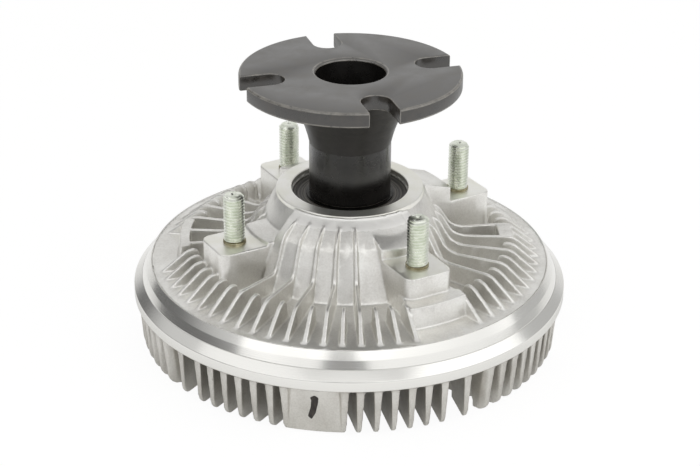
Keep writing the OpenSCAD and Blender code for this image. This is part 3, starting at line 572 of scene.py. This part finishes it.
@dataclass
class TurnedRing:
    """A ring turned on a lathe: its section, with rounded corners, spun about the axis.

    Attributes:
        name: The piece's name.
        section: Corners of the section, as radius and height in millimetres.
        finish: The ring's finish.
        corner_mm: Size of the rounding at the corners.
        body: The body that it rides on.
        slot: The record's material slot; not used.
        steps: Steps of the spin.
    """

    name: str
    section: list[Pair]
    finish: Finish
    corner_mm: float = 0.25
    body: Body = Body.HOUSING
    slot: str = "cast_aluminium"
    steps: int = 256

    def build(self) -> Object:
        """Round the section's corners and spin it."""
        shape = bmesh.new()
        face = shape.faces.new([shape.verts.new((r * MM, 0, z * MM)) for r, z in self.section])
        bmesh.ops.bevel(shape, geom=face.verts[:], offset=self.corner_mm * MM, offset_type="OFFSET",
                        segments=3, profile=0.5, affect="VERTICES", clamp_overlap=True, material=-1)
        outline = shape.edges[:]
        bmesh.ops.delete(shape, geom=shape.faces[:], context="FACES_ONLY")
        bmesh.ops.spin(shape, geom=shape.verts[:] + outline, cent=(0, 0, 0), axis=(0, 0, 1),
                       angle=2 * math.pi, steps=self.steps, use_merge=True)
        bmesh.ops.remove_doubles(shape, verts=shape.verts, dist=SPIN_WELD)
        bmesh.ops.recalc_face_normals(shape, faces=shape.faces)
        piece = finish_piece(self.name, shape, [self.finish], self.body, 50.0)
        even = piece.modifiers.new("even", "WEIGHTED_NORMAL")
        even.keep_sharp = True
        return piece


@dataclass(frozen=True)
class HousingShape:
    """Where the rear housing's machined faces and its front cone lie, in millimetres and degrees.

    Attributes:
        band_r: Radius from which the turned band covers the casting.
        band_sink: How far the casting moves inwards and down under the band.
        collar_r, collar_z: Radius and height that the collar's ring covers.
        collar_sink: How far the casting moves down under the collar's ring.
        collar_edge: Height over collar_z up to which the cone's wall isn't sunk.
        boss_z, boss_r, boss_depth: Height and radii of the boss tops, and how far off a point may lie.
        stud_deg, boss_half: Angles of the bosses and half a top's angle, in radians.
        cone_span, cone_fade: Azimuths of the eased cone and over how many degrees its right end fades.
        wall, shoulder, brow: Radius and height of the cone's upper edge, its bend and the easing's end.
        wall_lift, shoulder_lift, shoulder_pull: How far the easing lifts them and pulls the bend inwards.
        eased_depth: Depth under the surface at which the easing ends.
        strip: Radius and height between which the brushed strip lies.
        level, milled_level, strip_level: Least upward normal of levelled, milled and brushed faces.
    """

    band_r: float = 96.2
    band_sink: Pair = (0.9, 0.5)
    collar_r: float = 35.7
    collar_z: float = 75.2
    collar_sink: float = 1.0
    collar_edge: float = 0.5
    boss_z: float = 61.9
    boss_r: Pair = (51.7, 75.0)
    boss_depth: float = 0.6
    stud_deg: tuple[float, ...] = (-60, 30, 120, 210)
    boss_half: float = 0.25
    cone_span: Pair = (-46.5, 50.0)
    cone_fade: float = 8.0
    wall: Pair = (35.3, 75.1)
    shoulder: Pair = (44.0, 71.5)
    brow: Pair = (48.0, 66.0)
    wall_lift: float = 1.3
    shoulder_lift: float = 1.0
    shoulder_pull: float = 3.7
    eased_depth: float = 5.0
    strip: Pair = (40.8, 71.8)
    level: float = 0.75
    milled_level: float = 0.8
    strip_level: float = 0.55

    def on_boss(self, place: Vector) -> bool:
        """Tell whether a point lies on a milled boss top."""
        radius = math.hypot(place.x, place.y)
        if abs(place.z - self.boss_z) > self.boss_depth or not self.boss_r[0] < radius < self.boss_r[1]:
            return False
        turn = math.atan2(place.y, place.x)
        return any(abs(math.remainder(turn - math.radians(stud), 2 * math.pi)) < self.boss_half
                   for stud in self.stud_deg)

    def on_cone(self, place: Vector, radius: float, azimuth: float) -> bool:
        """Tell whether a point lies on the upper part of the front cone."""
        in_span = self.cone_span[0] < azimuth < self.cone_span[1]
        in_reach = in_span and self.wall[0] < radius < self.brow[0]
        return in_reach and (radius > self.collar_r or place.z < self.collar_z + self.collar_edge)

    def ease_cone(self, place: Vector, radius: float, azimuth: float) -> None:
        """Draw the front cone's shoulder into one even slope from the collar's edge to the brow.

        Args:
            place: The point, which is moved.
            radius: Its distance from the axis.
            azimuth: Its degrees from the front, positive to the right.
        """
        bend_r, bend_z = self.shoulder
        end_r, end_z = self.wall if radius < bend_r else self.brow
        end_lift = self.wall_lift if radius < bend_r else 0.0
        share = (radius - end_r) / (bend_r - end_r)
        surface = end_z + (bend_z - end_z) * share
        lift = end_lift + (self.shoulder_lift - end_lift) * share
        weight = min(1.0, max(0.0, 1 - (surface - place.z) / self.eased_depth))
        weight *= min(1.0, (self.cone_span[1] - azimuth) / self.cone_fade)
        place.xy *= 1 - self.shoulder_pull * share * weight / radius
        place.z += lift * weight

    def settle(self, place: Vector, normal: Vector) -> None:
        """Level the boss tops, ease the front cone and sink what the turned rings cover.

        Args:
            place: The point, which is moved.
            normal: The casting's normal there.
        """
        radius = math.hypot(place.x, place.y)
        azimuth = math.degrees(math.atan2(place.x, -place.y))
        if radius > self.band_r:
            place.xy *= (radius - self.band_sink[0]) / radius
            place.z -= self.band_sink[1]
        elif self.on_cone(place, radius, azimuth):
            self.ease_cone(place, radius, azimuth)
        elif place.z > self.collar_z and radius < self.collar_r:
            place.z -= self.collar_sink
        elif normal.z > self.level and self.on_boss(place):
            place.z = self.boss_z

    def finish(self, place: Vector, normal: Vector) -> int:
        """Choose a face's finish: 0 cast, 1 milled, 2 brushed under the collar's edge."""
        if normal.z > self.milled_level and self.on_boss(place):
            return 1
        on_strip = place.z > self.strip[1] and math.hypot(place.x, place.y) < self.strip[0]
        return 2 if normal.z > self.strip_level and on_strip else 0


@dataclass(frozen=True)
class CoverShape:
    """Where the front cover's turned rim lies, in millimetres.

    Attributes:
        rim_r, rim_z: Radius and height from which the turned rim covers the casting.
        rim_sink: How far the casting moves inwards and down there.
    """

    rim_r: float = 100.0
    rim_z: float = 24.6
    rim_sink: Pair = (0.9, 0.6)

    def settle(self, place: Vector, normal: Vector) -> None:
        """Sink what the turned rim covers."""
        radius = math.hypot(place.x, place.y)
        if radius > self.rim_r and place.z > self.rim_z:
            place.xy *= (radius - self.rim_sink[0]) / radius
            place.z -= self.rim_sink[1]

    def finish(self, place: Vector, normal: Vector) -> int:
        """Choose a face's finish: all of it is cast."""
        return 0


# Corners of the turned rings' sections, as radius and height in millimetres.
BAND_SECTION = [(101.98, 27.0), (101.98, 31.4), (100.9, 31.4), (100.9, 33.8), (98.95, 37.4), (96.45, 41.2),
                (96.05, 40.8), (93.5, 38.5), (93.5, 27.0)]
COLLAR_SECTION = [(28.0, 74.0), (28.0, 76.7), (28.4, 77.1), (35.0, 77.1), (35.35, 76.75), (35.6, 74.4),
                  (33.5, 72.8), (32.5, 72.8), (32.5, 74.0)]
RIM_SECTION = [(104.4, 24.5), (105.0, 25.1), (105.0, 29.9), (100.92, 33.8), (100.92, 31.4), (102.0, 31.4),
               (102.0, 27.0), (98.0, 27.0), (98.0, 24.1), (102.4, 23.6)]


@dataclass(frozen=True)
class NeckFlare:
    """The slack curve in which the neck opens towards the flange, in millimetres.

    Attributes:
        core_r: Radius of its inner wall, inside the neck.
        foot_r, foot_z: Radius and height of its foot.
        slope: How fast the radius grows at the foot.
        bend: How fast it grows with the square of the height.
        rises: Heights over the foot at which the section has its corners.
    """

    core_r: float = 19.0
    foot_r: float = 19.5
    foot_z: float = 100.6
    slope: float = 0.2
    bend: float = 0.0085
    rises: tuple[float, ...] = (0.0, 0.6, 4.0, 8.0, 12.0, 16.0, 20.0, 24.0, 27.8)

    def section(self) -> list[Pair]:
        """Return the section's corners, as radius and height."""
        curve = [(self.foot_r + self.slope * rise + self.bend * rise ** 2, self.foot_z + rise)
                 for rise in self.rises]
        return [(self.core_r, self.foot_z), *curve, (self.core_r, self.foot_z + self.rises[-1])]

    def build(self) -> Object:
        """Spin the section about the axis."""
        return TurnedRing("neck_flare", self.section(), FLARE, 0.1, Body.SHAFT, "black_steel").build()


@dataclass(frozen=True)
class Shaft:
    """The blackened drive shaft: its CAD form with broken edges, painted lighter for worn oxide and for a highlight
    along them, and an oiled neck.

    Attributes:
        edge_mm: Size of the broken edges.
        sharp_deg: Edges that bend more than this are broken.
        shortest_mm: Edges shorter than this aren't.
        neck_r_mm: Radius that the neck and its flare stay inside.
        neck_top_mm: Height of the flange's lower face.
        side_level: Most that a side's normal points up or down.
    """

    edge_mm: float = 0.4
    sharp_deg: float = 35.0
    shortest_mm: float = 0.3
    neck_r_mm: float = 23.2
    neck_top_mm: float = 128.2
    side_level: float = 0.3

    def build(self) -> Object:
        """Break the edges of the shaft's copy and give each face its finish."""
        shape = merged_copy("flange_shaft")
        sharp, shortest = math.radians(self.sharp_deg), self.shortest_mm * MM
        edges = [edge for edge in shape.edges
                 if edge.is_manifold and edge.calc_face_angle() > sharp and edge.calc_length() > shortest]
        broken = bmesh.ops.bevel(shape, geom=edges, offset=self.edge_mm * MM, offset_type="OFFSET", segments=2,
                                 profile=0.5, affect="EDGES", clamp_overlap=False, material=-1)
        for face in shape.faces:
            middle = face.calc_center_median() / MM
            radius = math.hypot(middle.x, middle.y)
            on_neck = middle.z < self.neck_top_mm and radius < self.neck_r_mm
            on_side = abs(face.normal.z) < self.side_level and radius > self.neck_r_mm
            face.material_index = 1 if on_neck else 3 if on_side else 0
        # Every broken edge is painted lighter: worn oxide and a painted highlight.
        for face in broken["faces"]:
            face.material_index = 2
        finishes = [BLACK, NECK, WORN_AND_HIGHLIT, SIDES]
        piece = finish_piece("blackened_shaft", shape, finishes, Body.SHAFT, 50.0)
        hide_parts("flange_shaft")
        return piece


@dataclass(frozen=True)
class Studs:
    """Four rolled studs with a thread, a rounded end with a drilled centre and a chromated base ring.

    Attributes:
        circle_mm, first_deg, seat_mm: Radius of the studs' circle, angle of the first one and height of the seats.
        length_mm, radius_mm, root_mm, pitch_mm: Length of a stud, radii of its thread and the thread's pitch.
        profile: Shares of the pitch at which crest, flank, root, flank and the next crest start.
        end_mm: Length of the rounded end.
        groove_mm: How far over the root the painted shade in the thread's groove reaches.
        centre_r_mm, centre_depth_mm, centre_taper: Radius, depth and taper of the drilled centre.
        ring_r_mm, ring_h_mm, ring_edge_mm: Radius, height and rounding of the base ring.
        steps: Steps of one turn of the thread.
    """

    circle_mm: float = 62.0
    first_deg: float = -60.0
    seat_mm: float = 61.9
    length_mm: float = 24.4
    radius_mm: float = 5.0
    root_mm: float = 4.15
    pitch_mm: float = 1.5
    profile: tuple[float, ...] = (0.0, 0.1, 0.45, 0.65, 1.0)
    end_mm: float = 1.7
    groove_mm: float = 0.15
    centre_r_mm: float = 1.3
    centre_depth_mm: float = 0.9
    centre_taper: float = 0.8
    ring_r_mm: float = 5.4
    ring_h_mm: float = 1.2
    ring_edge_mm: float = 0.4
    steps: int = 36

    def thread(self) -> BMesh:
        """Screw one turn's profile upwards, then trim and close both ends."""
        shape = bmesh.new()
        crest, root, pitch = self.radius_mm * MM, self.root_mm * MM, self.pitch_mm * MM
        points = [shape.verts.new((r, 0, z * pitch - pitch))
                  for r, z in zip((crest, crest, root, root, crest), self.profile)]
        edges = [shape.edges.new(pair) for pair in zip(points, points[1:])]
        turns = math.ceil(self.length_mm / self.pitch_mm) + 2
        bmesh.ops.spin(shape, geom=points + edges, cent=(0, 0, 0), axis=(0, 0, 1),
                       dvec=(0, 0, pitch / self.steps), angle=2 * math.pi * turns, steps=self.steps * turns,
                       use_merge=False)
        bmesh.ops.remove_doubles(shape, verts=shape.verts, dist=SPIN_WELD)
        for level, upward in ((0.0, -1.0), (self.length_mm * MM, 1.0)):
            cut = bmesh.ops.bisect_plane(shape, geom=shape.verts[:] + shape.edges[:] + shape.faces[:], dist=1e-7,
                                         plane_co=(0, 0, level), plane_no=(0, 0, upward), clear_outer=True)
            rim = [e for e in cut["geom_cut"] if isinstance(e, BMEdge)]
            bmesh.ops.edgeloop_fill(shape, edges=rim)
        bmesh.ops.recalc_face_normals(shape, faces=shape.faces)
        return shape

    def end(self, shape: BMesh) -> None:
        """Round a stud's upper end and drill the centre that held it in the lathe."""
        for vert in shape.verts:
            over = vert.co.z - (self.length_mm - self.end_mm) * MM
            limit = self.radius_mm * MM - max(over, 0.0) ** 2 / (self.end_mm * MM)
            radius = math.hypot(vert.co.x, vert.co.y)
            if radius > limit:
                vert.co.xy *= limit / radius
        shape.normal_update()
        top = max(shape.faces, key=lambda face: face.calc_center_median().z)
        rim = (self.radius_mm - self.end_mm - self.centre_r_mm) * MM
        bmesh.ops.inset_individual(shape, faces=[top], thickness=rim, depth=0.0)
        bmesh.ops.inset_individual(shape, faces=[top], thickness=self.centre_r_mm * self.centre_taper * MM,
                                   depth=-self.centre_depth_mm * MM)
        shape.normal_update()

    def paint_groove_shade(self, shape: BMesh) -> None:
        """Paint shade on the thread's groove and lower flanks, as a darker zinc."""
        for face in shape.faces:
            middle = face.calc_center_median()
            in_groove = math.hypot(middle.x, middle.y) < (self.root_mm + self.groove_mm) * MM
            if middle.z < (self.length_mm - self.end_mm) * MM and (in_groove or face.normal.z < -0.2):
                face.material_index = 2

    def ring(self, shape: BMesh) -> None:
        """Add the base ring to a stud."""
        made = bmesh.ops.create_cone(shape, cap_ends=True, segments=48, radius1=self.ring_r_mm * MM,
                                     radius2=self.ring_r_mm * MM, depth=self.ring_h_mm * MM,
                                     matrix=Matrix.Translation((0, 0, self.ring_h_mm * MM / 2)))
        faces = {face for vert in made["verts"] for face in vert.link_faces}
        for face in faces:
            face.material_index = 1
        top = [e for e in {edge for face in faces for edge in face.edges}
               if min(v.co.z for v in e.verts) > self.ring_h_mm * MM * 0.9]
        bmesh.ops.bevel(shape, geom=top, offset=self.ring_edge_mm * MM, offset_type="OFFSET", segments=3,
                        profile=0.5, affect="EDGES", material=-1)

    def place(self, shape: BMesh, geometry: list, quarter: int) -> None:
        """Move a stud to its seat on the circle.

        Args:
            shape: The mesh of the studs.
            geometry: What belongs to this stud.
            quarter: The stud's number on the circle.
        """
        turn = math.radians(self.first_deg + 90 * quarter)
        where = Vector((self.circle_mm * math.cos(turn), self.circle_mm * math.sin(turn), self.seat_mm)) * MM
        bmesh.ops.transform(shape, matrix=Matrix.Translation(where) @ Matrix.Rotation(turn, 4, "Z"),
                            verts=[part for part in geometry if isinstance(part, BMVert)])

    def build(self) -> Object:
        """Make one stud and set copies of it on the circle."""
        shape = self.thread()
        self.end(shape)
        self.paint_groove_shade(shape)
        self.ring(shape)
        first = shape.verts[:] + shape.edges[:] + shape.faces[:]
        for quarter in range(1, 4):
            self.place(shape, bmesh.ops.duplicate(shape, geom=first)["geom"], quarter)
        self.place(shape, first, 0)
        # The third finish is the painted shade in the thread's groove and on its lower flanks.
        finishes = [ZINC, CHROMATE, GROOVE_SHADE]
        piece = finish_piece("threaded_studs", shape, finishes, Body.HOUSING, 30.0)
        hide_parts("fan_studs")
        return piece


@dataclass(frozen=True)
class WoundStrip:
    """The bimetal strip: its tail turns with the spindle, its outer end stays on the cover and its turns wind.

    Attributes:
        tail_mm: Radius up to which the strip turns with the spindle.
        end_mm: Radius from which it stays with the cover.
    """

    tail_mm: float = 8.0
    end_mm: float = 19.8

    def build(self) -> Object:
        """Copy the strip and share the spindle's turn out over its turns."""
        shape = bmesh.new()
        shape.from_mesh(frame["nodes"]["bimetal_coil"].data)
        bmesh.ops.remove_doubles(shape, verts=shape.verts, dist=CAD_WELD)
        bmesh.ops.recalc_face_normals(shape, faces=shape.faces)
        piece = finish_piece("wound_strip", shape, [STRIP], None)
        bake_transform(piece, Body.HOUSING.value, Body.VALVE.value, start=(0, -self.end_mm * MM, 0),
                 end=(0, -self.tail_mm * MM, 0))
        # The strip is a spiral, so a point's share of the turn goes by its distance from the axis.
        for vert, share in zip(piece.data.vertices, piece.data.attributes["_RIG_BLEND"].data):
            part = (self.end_mm - vert.co.xy.length / MM) / (self.end_mm - self.tail_mm)
            part = min(1.0, max(0.0, part))
            share.value = part * part * (3 - 2 * part)
        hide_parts("bimetal_coil")
        return piece


@dataclass(frozen=True)
class InspectionMark:
    """A pen stroke on the face of the front block, left by whoever checked the clutch.

    Attributes:
        azimuth_deg: Azimuth of the block, positive to the right of the front.
        face_mm: Distance of the block's face from the axis.
        proud_mm: How far the ink stands over the face.
        sunk_mm: How far the mark reaches under it.
        corner_mm: Size of the rounding at the outline's corners.
        outline: The stroke's outline, as sideways place and height in millimetres.
    """

    azimuth_deg: float = -8.5
    face_mm: float = 100.1
    proud_mm: float = 0.08
    sunk_mm: float = 0.25
    corner_mm: float = 0.5
    outline: tuple[Pair, ...] = (
        (-2.3, 18.4), (-1.3, 19.0), (-0.2, 19.6), (1.6, 18.5), (1.4, 15.9), (0.3, 10.5), (-1.5, 7.2), (-3.2, 8.7),
        (-1.9, 13.7), (-1.7, 17.3))

    def build(self) -> Object:
        """Round the stroke's corners, give it thickness and lay it on the block's face."""
        shape = bmesh.new()
        back = (self.sunk_mm - self.face_mm) * MM
        face = shape.faces.new([shape.verts.new((side * MM, back, up * MM)) for side, up in self.outline])
        bmesh.ops.bevel(shape, geom=face.verts[:], offset=self.corner_mm * MM, offset_type="OFFSET",
                        segments=3, profile=0.5, affect="VERTICES", clamp_overlap=True, material=-1)
        grown = bmesh.ops.extrude_face_region(shape, geom=shape.faces[:], use_keep_orig=True)
        front = [vert for vert in grown["geom"] if isinstance(vert, BMVert)]
        bmesh.ops.translate(shape, verts=front, vec=(0, -(self.sunk_mm + self.proud_mm) * MM, 0))
        bmesh.ops.recalc_face_normals(shape, faces=shape.faces)
        bmesh.ops.rotate(shape, verts=shape.verts, cent=(0, 0, 0),
                         matrix=Matrix.Rotation(math.radians(self.azimuth_deg), 3, "Z"))
        return finish_piece("inspection_mark", shape, [INK], Body.HOUSING, 40.0)


@dataclass(frozen=True)
class SoftBox:
    """A soft box that faces the part.

    Attributes:
        name: The lamp's name.
        azimuth_deg: Degrees from the front, positive to the right.
        elevation_deg: Degrees above the horizon.
        span_deg: Width and height, seen from the part.
        glow: Brightness of its face, where 1 is white.
        distance_m: Distance from the part's middle.
        middle_m: Height of the part's middle.
    """

    name: str
    azimuth_deg: float
    elevation_deg: float
    span_deg: Pair
    glow: float
    distance_m: float = 1.2
    middle_m: float = 0.05

    def hang(self) -> None:
        """Add the lamp and turn it to the part."""
        data = bpy.data.lights.new(self.name, "AREA")
        data.shape = "RECTANGLE"
        data.size, data.size_y = (2 * self.distance_m * math.tan(math.radians(angle / 2)) for angle in self.span_deg)
        data.energy = self.glow * math.pi * data.size * data.size_y
        lamp = bpy.data.objects.new(self.name, data)
        turn, rise = math.radians(self.azimuth_deg), math.radians(self.elevation_deg)
        way = Vector((math.sin(turn) * math.cos(rise), -math.cos(turn) * math.cos(rise), math.sin(rise)))
        lamp.location = Vector((0, 0, self.middle_m)) + way * self.distance_m
        lamp.rotation_mode = "QUATERNION"
        lamp.rotation_quaternion = way.to_track_quat("Z", "Y")
        bpy.context.scene.collection.objects.link(lamp)


@dataclass(frozen=True)
class Studio:
    """White floor, white surroundings, soft boxes and the camera.

    Attributes:
        camera_mm, pitch_deg, roll_deg: Place, downward tilt and roll of the camera.
        focal_px, width_px, shift_px, sensor_mm: Its focal length, picture width, sideways shift and sensor.
        paper, paper_glow, paper_light: Colour of the floor, share of it that glows to the camera and its light.
        floor_m, floor_drop_mm: Half the floor's width and its depth under the part.
        near_glow, far_glow, shade_m: What metal mirrors of the paper near and far, and the radii between them.
        behind_glow, behind_m: How much of that is left behind the part, and the depths between which it falls.
        front_glow to ceiling_glow: Brightness of the room on each side.
        left_edge to ceiling_edge: Parts of a direction between which one brightness goes over to the next.
        lamps: The soft boxes.
    """

    camera_mm: tuple[float, float, float] = (0.0, -772.8, 433.0)
    pitch_deg: float = 26.28
    roll_deg: float = 0.446
    focal_px: float = 1772.3
    width_px: int = 700
    shift_px: float = 0.5
    sensor_mm: float = 36.0
    paper: str = "#f4f4f2"
    paper_glow: float = 0.9
    paper_light: float = 1.04
    floor_m: float = 6.0
    floor_drop_mm: float = 0.2
    near_glow: float = 0.1
    far_glow: float = 0.98
    shade_m: Pair = (0.115, 0.17)
    behind_glow: float = 0.35
    behind_m: Pair = (-0.05, 0.3)
    front_glow: float = 0.4
    left_glow: float = 0.2
    right_glow: float = 0.65
    back_glow: float = 1.08
    ceiling_glow: float = 0.82
    left_edge: Pair = (0.22, 0.46)
    front_edge: Pair = (-0.75, -0.4)
    right_edge: Pair = (-0.5, 0.5)
    side_edge: Pair = (-0.2, 0.15)
    back_edge: Pair = (0.68, 0.9)
    ceiling_edge: Pair = (0.4, 0.72)
    lamps: tuple[SoftBox, ...] = (
        SoftBox("right_soft_box", 55, 32, (82, 44), 0.7),
        SoftBox("left_soft_box", -36, 27, (42, 24), 0.7),
        SoftBox("upper_left_soft_box", -58, 48, (50, 20), 0.4),
        SoftBox("front_soft_box", 0, 46, (36, 22), 0.45),
    )

    def camera(self) -> None:
        """Set the camera at the photograph's angle."""
        data = bpy.data.cameras.new("photo_camera")
        data.sensor_fit = "HORIZONTAL"
        data.sensor_width = self.sensor_mm
        data.lens = self.focal_px / self.width_px * self.sensor_mm
        data.shift_x = self.shift_px / self.width_px
        camera = bpy.data.objects.new("photo_camera", data)
        camera.location = Vector(self.camera_mm) * MM
        camera.rotation_mode = "QUATERNION"
        tilt = Quaternion((1, 0, 0), math.radians(90 - self.pitch_deg))
        camera.rotation_quaternion = tilt @ Quaternion((0, 0, 1), math.radians(self.roll_deg))
        bpy.context.scene.collection.objects.link(camera)
        bpy.context.scene.camera = camera

    def floor_material(self) -> Material:
        """Build paper that stays white to the camera, keeps a soft shadow and is shaded in mirrored rays."""
        material, tree, place = new_tree("white_paper")
        rays = add_node(tree, "LightPath").outputs
        mirrored = add_node(tree, "Math", {0: rays["Is Glossy Ray"], 1: rays["Is Transmission Ray"]},
                            operation="MAXIMUM").outputs[0]
        radius = add_node(tree, "VectorMath", {0: place}, operation="LENGTH").outputs["Value"]
        depth = add_node(tree, "SeparateXYZ", {0: place}).outputs[1]
        # Close to the part the paper lies in its shade, and behind the part it gets less light.
        near, behind = (
            add_node(tree, "MapRange", {0: value, 1: span[0], 2: span[1], 3: low, 4: high}).outputs[0]
            for value, span, low, high in ((radius, self.shade_m, self.near_glow, self.far_glow),
                                           (depth, self.behind_m, 1.0, self.behind_glow)))
        lit, direct = (
            add_node(tree, "Math", {0: first, 1: second}, operation="MULTIPLY").outputs[0]
            for first, second in ((near, behind), (rays["Is Camera Ray"], self.paper_glow)))
        dimmed = add_node(tree, "Math", {0: mirrored, 1: lit}, operation="MULTIPLY").outputs[0]
        seen = add_node(tree, "Math", {0: direct, 1: dimmed}, operation="MAXIMUM").outputs[0]
        paper = add_node(tree, "BsdfDiffuse", {"Color": linear(self.paper)}).outputs[0]
        glow = add_node(tree, "Emission", {"Strength": self.paper_light}).outputs[0]
        close_tree(tree, add_node(tree, "MixShader", {0: seen, 1: paper, 2: glow}))
        return material

    def floor(self) -> None:
        """Lay a wide pale floor."""
        shape = bmesh.new()
        bmesh.ops.create_grid(shape, x_segments=1, y_segments=1, size=self.floor_m)
        mesh = bpy.data.meshes.new("studio_floor")
        shape.to_mesh(mesh)
        shape.free()
        mesh.materials.append(self.floor_material())
        floor = bpy.data.objects.new("studio_floor", mesh)
        floor.location.z = -self.floor_drop_mm * MM
        bpy.context.scene.collection.objects.link(floor)

    def world(self) -> None:
        """Surround the stage with a studio: white behind and above the part, darker in front and on the left."""
        world = bpy.data.worlds.new("studio_world")
        bpy.context.scene.world = world
        world.use_nodes = True
        tree = world.node_tree
        tree.nodes.clear()
        rays = add_node(tree, "LightPath")
        way = add_node(tree, "TexCoord").outputs["Generated"]
        across, depth, height = add_node(tree, "SeparateXYZ", {0: way}).outputs
        # Each row goes smoothly from one brightness to another, and a later row may start from an earlier one.
        # On the left a dark room shows under a bright wall.
        glow = {}
        for name, value, edge, low, high in (
                ("left", height, self.left_edge, self.left_glow, self.ceiling_glow),
                ("front", across, self.front_edge, "left", self.front_glow),
                ("right", across, self.right_edge, "left", self.right_glow),
                ("sides", depth, self.side_edge, "front", "right"),
                ("back", depth, self.back_edge, "sides", self.back_glow),
                ("room", height, self.ceiling_edge, "back", self.ceiling_glow)):
            inputs = {0: value, 1: edge[0], 2: edge[1], 3: glow.get(low, low), 4: glow.get(high, high)}
            step = add_node(tree, "MapRange", inputs, interpolation_type="SMOOTHSTEP")
            glow[name] = step.outputs[0]
        room = add_node(tree, "Background", {"Strength": glow["room"]})
        white = add_node(tree, "Background", {"Strength": 1.0})
        shader = add_node(tree, "MixShader", {0: rays.outputs["Is Camera Ray"], 1: room.outputs[0],
                                                        2: white.outputs[0]})
        add_node(tree, "OutputWorld", {"Surface": shader.outputs[0]})

    def build(self) -> None:
        """Set up camera, floor, world and lamps."""
        bpy.context.scene.view_settings.view_transform = "Standard"
        self.camera()
        self.floor()
        self.world()
        for lamp in self.lamps:
            lamp.hang()


def dress_nodes() -> None:
    """Give every CAD node its own finish or that of its record's slot."""
    for entry in frame["record"]["subparts"]:
        node = frame["nodes"][entry["node"]]
        node.data.materials.clear()
        finish = NODE_FINISH.get(entry["node"], SLOT_FINISH[entry["material_slot"]])
        node.data.materials.append(PAINTS.get(finish))


def main() -> None:
    """Build the pieces, dress the CAD nodes and set the stage."""
    logging.basicConfig(level=logging.INFO, format="%(name)s: %(message)s")
    dress_nodes()
    housing, cover = HousingShape(), CoverShape()
    Casting("housing_casting", "rear_housing", Body.HOUSING, [CAST, FACED, BRUSHED], housing.finish,
            housing.settle).build()
    # The cover's casting gets the darker copy of the cast aluminium, as painted shade.
    Casting("cover_casting", "front_cover", Body.HOUSING, [SHADED_CAST], cover.finish, cover.settle).build()
    TurnedRing("turned_band", BAND_SECTION, TURNED).build()
    TurnedRing("faced_collar", COLLAR_SECTION, FACED).build()
    TurnedRing("rolled_rim", RIM_SECTION, TURNED).build()
    Shaft().build()
    NeckFlare().build()
    Studs().build()
    WoundStrip().build()
    InspectionMark().build()
    Studio().build()


if __name__ == "__main__":
    main()
